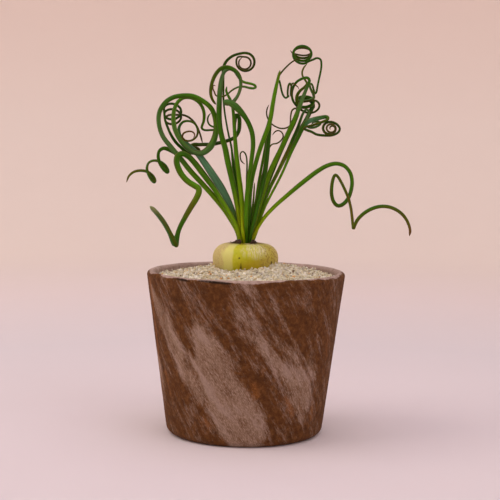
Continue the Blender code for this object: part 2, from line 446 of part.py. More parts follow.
def turned(name, outline, sides, collection, material):
    """A solid turned from (radius, height) points that start on the axis and run down the outer side."""
    mesh = bpy.data.meshes.new(name)
    edges = [(i, i + 1) for i in range(len(outline) - 1)]
    mesh.from_pydata([(radius, 0, height) for radius, height in outline], edges, [])
    piece = place(name, mesh, collection, material)
    turn = piece.modifiers.new("turn", "SCREW")
    turn.steps = sides
    turn.render_steps = sides
    turn.use_merge_vertices = True
    turn.merge_threshold = 0.00001
    turn.use_smooth_shade = True
    return piece


def loft(name, rings, collection, material, ring_shaped=False):
    """A solid skinned over rings of points: capped at both ends, or joined end to start."""
    sides = len(rings[0])
    points = [point for ring in rings for point in ring]
    faces = []
    for i in range(len(rings) if ring_shaped else len(rings) - 1):
        a, b = i * sides, (i + 1) % len(rings) * sides
        faces += [(a + j, a + (j + 1) % sides, b + (j + 1) % sides, b + j) for j in range(sides)]
    if not ring_shaped:
        faces.append(tuple(reversed(range(sides))))
        faces.append(tuple(len(points) - sides + j for j in range(sides)))
    mesh = bpy.data.meshes.new(name)
    mesh.from_pydata(points, [], faces)
    mesh.shade_smooth()
    mesh.set_sharp_from_angle(angle=math.radians(40))
    return place(name, mesh, collection, material)


def outer_radius(height):
    return BASE_RADIUS + (RIM_RADIUS - BASE_RADIUS) * height / POT_HEIGHT


def inner_radius(height):
    return outer_radius(height) - WALL


def arc(middle, across, up, start, end, steps):
    """Points of an elliptical arc, angles in degrees."""
    angles = [math.radians(start + (end - start) * i / steps) for i in range(steps + 1)]
    return [(middle[0] + across * math.cos(a), middle[1] + up * math.sin(a)) for a in angles]


def inside_corner(gap):
    """The rounded corner between the pot's floor and wall, drawn in by a gap."""
    middle = (inner_radius(FLOOR + FLOOR_ROUNDING) - FLOOR_ROUNDING, FLOOR + FLOOR_ROUNDING)
    return arc(middle, FLOOR_ROUNDING - gap, FLOOR_ROUNDING - gap, -90, 0, 3)


def make_pot(collection):
    lip = WALL / 2
    lip_middle = (outer_radius(POT_HEIGHT - lip) - lip, POT_HEIGHT - lip)
    foot_middle = (FOOT_RADIUS, FOOT_ROUNDING)
    foot_width = outer_radius(FOOT_ROUNDING) - FOOT_RADIUS
    outline = [(0, FLOOR)]
    outline += inside_corner(0)
    outline += arc(lip_middle, lip, lip, 180, 0, 6)
    outline += arc(foot_middle, foot_width, FOOT_ROUNDING, 0, -90, 4)
    outline.append((0, 0))
    turned("pot", outline, POT_SIDES, collection, finish("pot_clay", (102, 68, 48), 0.75))


def bulb_seat(low, high):
    """Points just outside the bulb's outline between two heights, in metres."""
    radii = [radius for radius, height in BULB_OUTLINE]
    heights = [height for radius, height in BULB_OUTLINE]
    steps = [low / MM] + [h for h in heights if low / MM + 0.5 < h < high / MM - 0.5] + [high / MM]
    return [(float(np.interp(h, heights, radii)) * MM + FIT, h * MM - FIT) for h in steps]


def make_soil(collection):
    outline = [(0, BULB_OUTLINE[0][1] * MM - FIT)]
    outline += bulb_seat(BULB_OUTLINE[0][1] * MM, SOIL_TOP + FIT)
    outline.append((inner_radius(SOIL_TOP) - FIT, SOIL_TOP))
    outline += reversed(inside_corner(FIT))
    outline.append((0, FLOOR + FIT))
    turned("potting_soil", outline, POT_SIDES, collection, finish("soil", (58, 44, 33), 0.95))


def circle(radius, height, middle, sides):
    angles = [2 * math.pi * j / sides for j in range(sides)]
    return [(middle + radius * math.cos(a), radius * math.sin(a), height) for a in angles]


def make_gravel(collection):
    """A ring of grit round the bulb, mounded towards it, with its grains as seeded relief."""
    draw = random.Random(GRAIN_SEED)
    low = SOIL_TOP + FIT
    middle = BULB_MIDDLE * MM
    seat = bulb_seat(low + FIT, GRAVEL_EDGE + GRAVEL_RISE)
    rings = [circle(radius, height, middle, GRAVEL_SIDES) for radius, height in seat]
    inner = seat[-1][0]
    outer = inner_radius(GRAVEL_EDGE) - FIT
    count = round((outer - inner) / GRAVEL_STEP)
    for i in range(1, count):
        t = i / count
        ring = []
        for j in range(GRAVEL_SIDES):
            angle = 2 * math.pi * (j + draw.uniform(-0.3, 0.3)) / GRAVEL_SIDES
            radius = inner + (outer - inner) * (i + draw.uniform(-0.3, 0.3)) / count
            height = GRAVEL_EDGE + GRAVEL_RISE * (0.5 + 0.5 * math.cos(math.pi * t))
            height += GRAIN * (draw.uniform(-1, 1) + 0.5 * (-1) ** (i + j))
            ring.append((middle * (1 - t) + radius * math.cos(angle), radius * math.sin(angle), height))
        rings.append(ring)
    rings.append(circle(outer, GRAVEL_EDGE, 0, GRAVEL_SIDES))
    rings.append(circle(inner_radius(low) - FIT, low, 0, GRAVEL_SIDES))
    loft("gravel_topping", rings[::-1], collection, finish("gravel", (190, 170, 145), 0.9), ring_shaped=True)


def lump(angle, height):
    """How far the bulb's flesh swells or sinks from a true round, only above the gravel."""
    above = min(max((height - 101) / 4, 0), 1)
    return 1 + BULB_LUMPS * above * (math.sin(2 * angle + 0.6) + 0.7 * math.sin(3 * angle + 2))


def make_bulb(collection):
    """A flattened onion shape with an oval pit in its neck, where the leaves stand."""
    angles = [2 * math.pi * j / BULB_SIDES for j in range(BULB_SIDES)]
    rings = []
    for radius, height in BULB_OUTLINE:
        ring = []
        for a in angles:
            r = radius * lump(a, height)
            ring.append(((BULB_MIDDLE + r * math.cos(a)) * MM, r * math.sin(a) * MM, height * MM))
        rings.append(ring)
    for height, share in ((NECK_TOP, 1.0), (PIT_FLOOR, 0.97)):
        across, deep = PIT_ACROSS * share * MM, PIT_DEEP * share * MM
        middle = BULB_MIDDLE * MM
        rings.append([(middle + across * math.cos(a), deep * math.sin(a), height * MM) for a in angles])
    loft("bulb", rings, collection, finish("bulb_flesh", (165, 155, 70), 0.5))


def make_leaf(name, path, radii, collection, material):
    """A tapering tube along the leaf, its points nearer together in the bends."""
    curve = bpy.data.curves.new(name, "CURVE")
    curve.dimensions = "3D"
    curve.bevel_depth = MM
    curve.bevel_resolution = 1
    curve.use_fill_caps = True
    spline = curve.splines.new("POLY")
    kept = thin(path)
    spline.points.add(len(kept) - 1)
    for point, i in zip(spline.points, kept):
        away = 1 + path[i, 2] / -VIEW_POINT[1]
        point.co = (*(seen(path[i]) * MM), 1)
        point.radius = radii[i] * away
    spline.use_smooth = True
    place(name, curve, collection, material)


def leaf_green(name):
    if name in DARK_LEAVES:
        return LEAF_GREENS["dark"]
    if name in BLUE_LEAVES:
        return LEAF_GREENS["blue"]
    return LEAF_GREENS["olive" if name in OLIVE_LEAVES else "mid"]


def make_leaves(collection):
    paths, radii = {}, {}
    for name, leaf in LEAVES.items():
        paths[name], radii[name] = leaf_path(leaf)
    settle(paths, radii)
    for name in LEAVES:
        green = finish("leaf_" + name, leaf_green(name), 0.45)
        make_leaf("leaf_" + name, paths[name], radii[name], collection, green)


def make_dried_base(name, start, end, collection):
    """A scrap of an old leaf's base, curled round the neck on the bulb's shoulder."""
    rings = []
    for i in range(DRIED_STEPS + 1):
        t = i / DRIED_STEPS
        angle = math.radians(start + (end - start) * t)
        fullness = 0.35 + 0.65 * math.sin(math.pi * t)
        ring = []
        for side, rise in ((-0.5, 1.0), (0.7, 1.0), (1, 0.0), (-1, 0.0)):
            r = DRIED_RADIUS + side * DRIED_THICKNESS / 2
            height = DRIED_FOOT + rise * DRIED_HEIGHT * fullness
            ring.append(((BULB_MIDDLE + r * math.cos(angle)) * MM, r * math.sin(angle) * MM, height * MM))
        rings.append(ring)
    loft(name, rings, collection, finish(name, (88, 58, 34), 0.8))


def main():
    clear_scene()
    collection = bpy.data.collections.new("potted_corkscrew_albuca")
    bpy.context.scene.collection.children.link(collection)
    make_pot(collection)
    make_soil(collection)
    make_gravel(collection)
    make_bulb(collection)
    make_leaves(collection)
    make_dried_base("dried_base_left", 183, 243, collection)
    make_dried_base("dried_base_right", 286, 316, collection)


main()
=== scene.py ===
"""Looks of the potted corkscrew albuca: its fine surfaces, the light and the camera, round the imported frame.

Metres, +Z up, with the origin at the centre of the pot's flat foot, as in the frame.
"""

import math
import random

import bmesh
import bpy
import numpy as np
from mathutils import Matrix, Vector, noise


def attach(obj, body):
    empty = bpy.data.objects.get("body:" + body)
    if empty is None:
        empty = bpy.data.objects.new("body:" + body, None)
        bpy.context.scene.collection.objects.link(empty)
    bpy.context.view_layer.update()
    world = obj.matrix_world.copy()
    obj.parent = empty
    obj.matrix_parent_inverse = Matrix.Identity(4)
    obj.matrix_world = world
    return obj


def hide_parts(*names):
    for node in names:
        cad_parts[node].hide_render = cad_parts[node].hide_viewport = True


MM = 0.001

# Camera, fitted to the photograph's outline of the pot
EYE = (0.0022, -0.770, 0.178)
LOOKS_DOWN = math.radians(5)
ROLL = math.radians(0.77)
LENS = 92.16
SENSOR = 36

# Studio: a round floor that sweeps up into a wall
FLOOR_RADIUS = 1.0
SWEEP_RADIUS = 0.7
WALL_TOP = 2.4
FLOOR_RINGS = 6
SWEEP_RINGS = 24
STUDIO_SIDES = 128
# Colour of the paper by distance from the pot, in metres: lighter close to the pot, painted light that offsets
# the pot's shade on the floor
PAPER_AND_PAINTED_LIGHT = [(0.05, (219, 211, 217)), (0.11, (214, 205, 213)), (0.35, (208, 202, 210)), (0.7, (218, 207, 210)),
         (1.1, (223, 212, 208)), (1.5, (222, 210, 205)), (1.72, (220, 203, 196))]
PAPER_REACH = 2.0
PAPER_FIBRE = (200, 180, 176)
SKY = (254, 249, 248)
SKY_STRENGTH = 1.4
# Soft square lights: name, place, size in metres, power in watts and colour
LIGHTS = (("key", (-1.25, -0.2, 1.05), 1.2, 9.4, (255, 242, 230)),
          ("fill", (0.95, -0.9, 0.7), 1.0, 3.8, (252, 244, 250)))
LIGHT_AIM = (0, 0, 0.1)

# Pot, in millimetres as in the frame
POT_HEIGHT = 98.4
RIM_RADIUS = 60.0
BASE_RADIUS = 46.9
FOOT_RADIUS = 42.2
FOOT_ROUNDING = 4.6
WALL = 5.0
FLOOR = 6.0
FLOOR_ROUNDING = 6.0
POT_SIDES = 264
POT_ROW = 0.9
# How far its surface departs from true: worn in long and short waves, film, and turning lines
WORN = 0.12
WORN_FINE = 0.05
FILM_THICKNESS = 0.07
TURNING_DEPTH = 0.03
TURNING_PITCH = 1.9
MOST_UNEVEN = 0.25

# Light film on the clay. A stroke is a line of (around, height, half width): around is measured along the rim
# from the front, to the right, in millimetres.
FILM_STROKES = [
    [(-72, 87, 3), (-66, 80, 5.5), (-59, 71, 6.5), (-53, 63, 6), (-47, 55, 6), (-42, 46, 5.5), (-36, 38, 5),
     (-31, 29, 4)],
    [(-30, 72, 2), (-28, 65, 7), (-25, 57, 11), (-23, 49, 13), (-19, 41, 15), (-15, 33, 16.5),
     (-10, 26, 17), (-5, 19, 17.5), (0, 12, 16), (2, 6, 13)],
    [(-40, 86, 0.8), (-34, 78, 1.2), (-29, 70, 2)],
    [(0, 69, 1), (6, 65, 3), (12, 61, 5), (18, 56, 4.5), (25, 48, 4.5), (32, 40, 5), (39, 32, 7.5),
     (43, 26, 8), (45, 17, 5)],
    [(20, 67, 1), (25, 60, 2), (32, 53, 3), (39, 45, 4), (46, 37, 4)],
    [(34, 58, 1.5), (42, 51, 4), (52, 42, 5)],
    [(-7, 85, 3), (-2, 78, 3.5), (2, 73, 2)],
    [(2, 91, 8), (9, 84, 7), (17, 76, 4), (27, 67, 3), (36, 58, 2.5), (46, 47, 2)],
    [(-9, 88, 2), (-1, 78, 2), (8, 69, 2)],
    [(38, 33, 5), (43, 27, 8), (45, 20, 6)],
    [(-62, 60, 2), (-58, 45, 3), (-50, 28, 4), (-42, 16, 4)],
]
# How dense each of those strokes is
FILM_STRENGTH = [1.0, 1.05, 0.55, 0.9, 0.75, 0.55, 0.55, 0.4, 0.5, 0.95, 0.2]
FILM_SOFT = 4.0
# Dark scratches in the film
GROOVES = [
    [(13, 66, 0.6), (20, 59, 1.2), (26, 52, 1.4), (30, 47, 0.8)],
    [(35, 57, 0.7), (45, 44, 1.8), (53, 35, 1.2)],
    [(-43, 78, 1.5), (-38, 66, 2.5), (-34, 56, 1.2)],
]
GROOVE_SOFT = 1.0
RUST_STROKES = [
    [(6, 39, 1.5), (8, 32, 2.2)],
    [(-66, 42, 0.8), (-65, 34, 1.4), (-64, 27, 0.8)],
    [(29, 29, 1.0), (33, 22, 1.6), (36, 17, 0.8)],
    [(55, 23, 0.8), (57, 14, 1.2)],
    [(64, 62, 0.6), (66, 50, 0.9)],
    [(-29, 17, 0.8), (-26, 12, 1.2)],
    [(-76, 92, 2.5), (-77, 60, 1.5), (-78, 30, 1.0)],
]
RUST_SOFT = 1.2
# Dark worn nicks under the lip, as strokes, with the shadow under the lip's edge painted into them
NICKS_AND_SHADE = [
    [(-44, 97.2, 0.2), (-39, 97.3, 0.8), (-34, 96.9, 0.3)],
    [(-27, 97.5, 0.4), (-19, 97.3, 0.8), (-13, 97.0, 0.7), (-8, 96.5, 0.3)],
]
NICK_SOFT = 0.4
# The lip's pale band, partly whitish film and partly painted highlight where the rounded top catches light
# from above: how far it reaches down, how much that changes, and where along the rim it dips further
BAND_DEPTH = 0.7
BAND_CHANGE = 1.0
DIP_MIDDLE = 2
DIP_DEPTH = 1.6
DIP_SPREAD = 9
# Film round the sides and back: where it starts and how far it goes along the rim, and each stroke's ranges
BACK_FROM = 92
BACK_REACH = 195
BACK_TOPS = (62, 96)
BACK_LENGTHS = (30, 62)
BACK_WIDTHS = (1.5, 3, 5, 9, 13)
BACK_STRENGTH = 0.75
BACK_STROKES = 11
BACK_SEED = 5
# How steeply the film's streaks run down to the right
STREAK_SLOPE = 1.5

# Gravel, in millimetres
GRAVEL_EDGE = 95.4
GRAVEL_RISE = 5.0
GRAVEL_INNER = 19.6
GRAVEL_OUTER = 54.3
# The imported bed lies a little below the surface
BED_BELOW = 0.8
BED_LOW = 93.3
BED_RINGS = 34
BED_SIDES = 200
# Grains lie in rows, shaken aside and sunk by a share of their size, and jolted up or down
GRAIN_SPACING = 2.25
GRAIN_SHAKE = 0.35
GRAIN_SINK = 0.28
GRAIN_JOLT = (-0.3, 0.35)
GRAIN_SIZES = (1.9, 3.8)
GRAIN_STRETCH = ((0.8, 1.2), (0.7, 1.0), (0.6, 0.9))
# Some grains carry a smaller one, a little aside
LOOSE_SHARE = 0.14
LOOSE_SIZES = (1.3, 2.5)
LOOSE_LIFTS = (0.3, 0.8)
LOOSE_ASIDE = (0.5, 0.4)
GRAIN_SHAPES = 36
GRAIN_CORNERS = 11
CORNER_REACH = (0.42, 0.54)
GRAVEL_SEED = 11
BED_COLOUR = (204, 197, 174)
# Each stone's colour and share of the grains
GRAVEL_COLOURS = {
    "cream": ((216, 209, 184), 0.43),
    "white": ((224, 220, 208), 0.27),
    "tan": ((204, 190, 158), 0.18),
    "grey": ((182, 176, 162), 0.08),
    "orange": ((206, 162, 108), 0.03),
    "dark": ((128, 110, 92), 0.01),
}
# Gravel heaped against the bulb: side in degrees from the front to the right, height, spread along the bulb
HEAPS = [(58, 3.0, 9.0), (14, 0.9, 7.0), (-24, -0.7, 7.0), (-62, 1.0, 8.0)]
HEAP_RADIUS = 22.0
HEAP_REACH = 4.5
# Where the gravel lies lower or higher: place (across, deep), spread and height
SWELLS = [((-40, 22), 24, -0.9), ((24, 30), 18, 1.2)]

# Bulb, in millimetres: radius and height of its outline
BULB_MIDDLE = -0.5
BULB_OUTLINE = [(6.0, 90.6), (11.0, 91.6), (15.2, 94.2), (17.8, 97.8), (19.2, 101.8), (19.6, 105.8),
                (19.0, 109.2), (17.2, 112.0), (14.4, 113.9), (11.0, 114.7), (9.0, 115.0), (7.5, 115.3)]
BULB_LUMPS = 0.012
BULB_SIDES = 288
BULB_STEP = 0.4
# Where its skins start and where they are full: degrees from the front to the right, then radius and height
TAN_LEFT = (-41, -50)
TAN_RIGHT = (58, 80)
TAN_BEHIND = (95, 120)
SEAM_EDGE = (-21, -25)
CROWN_EDGE = (11.5, 9.5)
FOOT_EDGE = (99.4, 97.8)
# How far the skins and veins stand up, from flesh that is sunk a little
SKINS_RAISED = {"seam": 0.16, "tan": 0.14, "white": 0.1}
VEINS_RAISED = 0.05
FLESH_SUNK = 0.15
# Patches on the bulb: (side in degrees from the front to the right, height), (half width, half height)
WHITE_SKIN = (22, 113.5), (24, 5.5)
OCHRE_FLUSH = (30, 101.5), (42, 5.5)
WORN_SKIN = (68, 107), (38, 10)
DARK_MARKS = [((-11, 107.4), (1.7, 0.6)), ((-8, 102.6), (0.9, 1.9)), ((54, 104.0), (2.4, 1.2))]
# The pit in its top, from which the leaves grow
PIT_ACROSS = 5.9
PIT_DEEP = 5.4
PIT_FLOOR = 111.0
NECK_TOP = 115.0

# Leaves, in millimetres: places are (across, up, back) as seen from the front, at the view point
VIEW_POINT = (2.2, -770.0, 178.0)
# How far apart the points of a middle line are, and its steps from one place of its route to the next
SAMPLE = 1.0
SPAN_STEPS = 16
# In the neck the leaves stand in rows and are slim, then they grow to their own widths
NECK_MIDDLE = -0.5
NECK_PITCH = 2.05
NECK_ROWS = (4, 5, 6, 5, 4)
NECK_RADIUS = 0.75
NECK_GROWTH = 0.05
NECK_REACH = 45
FIT = 0.3
# Low down the leaves are wider across than deep, and the outer ones lean in
NECK_SPREAD = 1.36
SPREAD_FROM = (123.0, 116.0)
NECK_SQUEEZE = 0.16
SQUEEZE_FROM = (122.5, 114.5)
SQUEEZE_ASIDE = (15.0, 9.0)
# Leaves that would touch lean apart, but not in the neck
LEAF_GAP = 0.5
OWN_WIDTHS = 2.2
FREE_FROM = 115.5
FREE_OVER = 10
SETTLE_ROUNDS = 400
SETTLE_REACH = 9
SETTLE_SPREAD = 3.5
SETTLE_SHARES = (0.25, 0.6)
LEAF_STIFFNESS = 0.25
# A leaf cut across: how thick its upper side is, and the channel in it
LEAF_SIDES = 14
LEAF_TOP = 0.86
CHANNEL_DEPTH = 0.34
CHANNEL_WIDTH = 0.42
# The tip closes over its last rings, from the first to the second of these shares of its area
TIP_STEPS = 3
TIP_CLOSING = (0.85, 0.04)

# Leaf colours; sage_sheen, glaucous_sheen and grey are partly painted sheen, the sky's light reflected off
# bends of the leaves
GREENS = {
    "lime": (138, 160, 0),
    "yellow": (160, 166, 20),
    "grass": (107, 146, 0),
    "leaf": (72, 121, 0),
    "deep": (46, 90, 0),
    "dark": (32, 68, 0),
    "olive": (82, 86, 2),
    "glaucous_sheen": (84, 130, 94),
    "sage_sheen": (70, 104, 52),
    "edge": (96, 70, 12),
    "grey": (124, 136, 92),
    "brown": (94, 62, 22),
    "bronze": (58, 54, 6),
}
# Colours along each leaf, from its base (0) to its tip (1); the sage, glaucous and grey stops are partly
# painted sheen on bends that catch the light
LEAF_TINTS = {
    "left_ring": [(0, "lime"), (0.07, "grass"), (0.2, "leaf"), (0.3, "sage_sheen"), (0.42, "deep"), (0.55, "leaf"),
                  (0.64, "sage_sheen"), (0.8, "leaf"), (1, "deep")],
    "left_drooping": [(0, "lime"), (0.1, "grass"), (0.25, "leaf"), (0.4, "deep"), (0.58, "leaf"),
                      (0.66, "olive"), (0.74, "deep"), (0.88, "deep"), (0.96, "sage_sheen"), (1, "grey")],
    "left_corkscrew": [(0, "grass"), (0.2, "deep"), (0.5, "deep"), (0.86, "deep"), (1, "olive")],
    "left_inner_coil": [(0, "grass"), (0.2, "deep"), (0.6, "dark"), (1, "bronze")],
    "left_wide": [(0, "yellow"), (0.1, "grass"), (0.22, "glaucous_sheen"), (0.5, "glaucous_sheen"), (0.7, "deep"),
                  (1, "brown")],
    "centre_crossing": [(0, "grass"), (0.2, "deep"), (0.6, "dark"), (1, "olive")],
    "centre_hook": [(0, "lime"), (0.1, "lime"), (0.22, "leaf"), (0.5, "deep"), (0.6, "sage_sheen"), (0.68, "sage_sheen"),
                    (0.76, "leaf"), (0.86, "sage_sheen"), (0.93, "olive"), (0.97, "brown"), (1, "brown")],
    "centre_top_coil": [(0, "grass"), (0.2, "deep"), (0.6, "dark"), (1, "bronze")],
    "centre_stub": [(0, "lime"), (0.18, "lime"), (0.3, "grass"), (0.6, "leaf"), (1, "deep")],
    "centre_ring": [(0, "deep"), (0.15, "leaf"), (0.5, "deep"), (0.66, "sage_sheen"), (0.8, "deep"), (1, "olive")],
    "centre_thin_loop": [(0, "grass"), (0.3, "leaf"), (1, "bronze")],
    "short_tip": [(0, "grass"), (0.5, "leaf"), (1, "olive")],
    "right_blade": [(0, "deep"), (0.2, "deep"), (0.6, "leaf"), (0.93, "leaf"), (1, "olive")],
    "right_squiggle": [(0, "deep"), (0.2, "deep"), (0.6, "dark"), (0.95, "dark"), (1, "brown")],
    "right_top": [(0, "grass"), (0.2, "leaf"), (0.6, "deep"), (1, "bronze")],
    "middle_thin_ring": [(0, "grass"), (0.3, "leaf"), (0.7, "olive"), (1, "bronze")],
    "right_arch": [(0, "lime"), (0.15, "grass"), (0.4, "leaf"), (0.5, "leaf"), (0.58, "sage_sheen"), (0.65, "deep"),
                   (0.8, "dark"), (1, "bronze")],
    "right_inner": [(0, "grass"), (0.2, "leaf"), (0.6, "deep"), (1, "olive")],
    "middle_loop": [(0, "grass"), (0.3, "leaf"), (0.7, "olive"), (1, "bronze")],
    "right_tall": [(0, "grass"), (0.15, "leaf"), (0.22, "deep"), (0.25, "sage_sheen"), (0.29, "dark"),
                   (0.42, "deep"), (0.47, "sage_sheen"), (0.53, "deep"), (0.62, "dark"), (0.78, "deep"),
                   (1, "bronze")],
    "right_coils": [(0, "grass"), (0.3, "leaf"), (0.38, "deep"), (0.42, "deep"), (0.45, "glaucous_sheen"),
                    (0.5, "deep"), (0.57, "dark"), (0.72, "dark"), (1, "bronze")],
    "right_short": [(0, "grass"), (0.3, "leaf"), (0.52, "olive"), (0.58, "deep"), (0.66, "dark"),
                    (0.84, "sage_sheen"), (1, "deep")],
    "right_long": [(0, "yellow"), (0.06, "lime"), (0.13, "grass"), (0.22, "leaf"), (0.45, "deep"),
                   (0.6, "deep"), (0.72, "olive"), (0.85, "deep"), (0.96, "olive"), (1, "brown")],
}
# Slots for the leaves that aren't plain green
LEAF_SLOTS = {
    "leaf_dark_green": ("left_ring", "centre_hook", "centre_crossing", "right_arch", "right_tall"),
    "leaf_blue_green": ("left_wide",),
    "leaf_olive": ("middle_thin_ring", "centre_thin_loop", "middle_loop", "right_short", "right_coils"),
}

# Dried scraps of old leaf base on the bulb's shoulder: name, start and end in degrees round the bulb, and how
# far the thickest place leans to the end
DRIED_SCRAPS = (("dried_base_left", 188, 247, 3.2), ("dried_base_right", 286, 318, 1.0))
DRIED_RADIUS = 9.6
DRIED_THICKNESS = 0.8
DRIED_HEIGHT = 1.6
DRIED_FOOT = 115.35
SCRAP_STEPS = 34
SCRAP_SIDES = 10
# A dark stump of an old leaf, beside the neck
KNOT_PLACE = (-4.3, -7.6, 116.2)
KNOT_SIZE = (1.35, 1.2, 1.5)
KNOT_SIDES = 20
KNOT_ROWS = 14


def coil(middle, end, radius, turns, start, flat, lie):
    """Points of a coil whose middle moves to end as radius and flatness change; minus runs clockwise."""
    count = round(abs(turns) * 12)
    tilt = math.radians(lie)
    points = []
    for i in range(count + 1):
        t = i / count
        angle = math.radians(start + 360 * turns * t) - tilt
        r = radius[0] + (radius[1] - radius[0]) * t
        squash = flat[0] + (flat[1] - flat[0]) * t
        along = r * math.cos(angle)
        aside = r * math.sin(angle) * squash
        away = r * math.sin(angle) * math.sqrt(1 - squash * squash)
        across = along * math.cos(tilt) - aside * math.sin(tilt)
        up = along * math.sin(tilt) + aside * math.cos(tilt)
        centre = [a + (b - a) * t for a, b in zip(middle, end)]
        points.append((centre[0] + across, centre[1] + up, centre[2] + away))
    return points


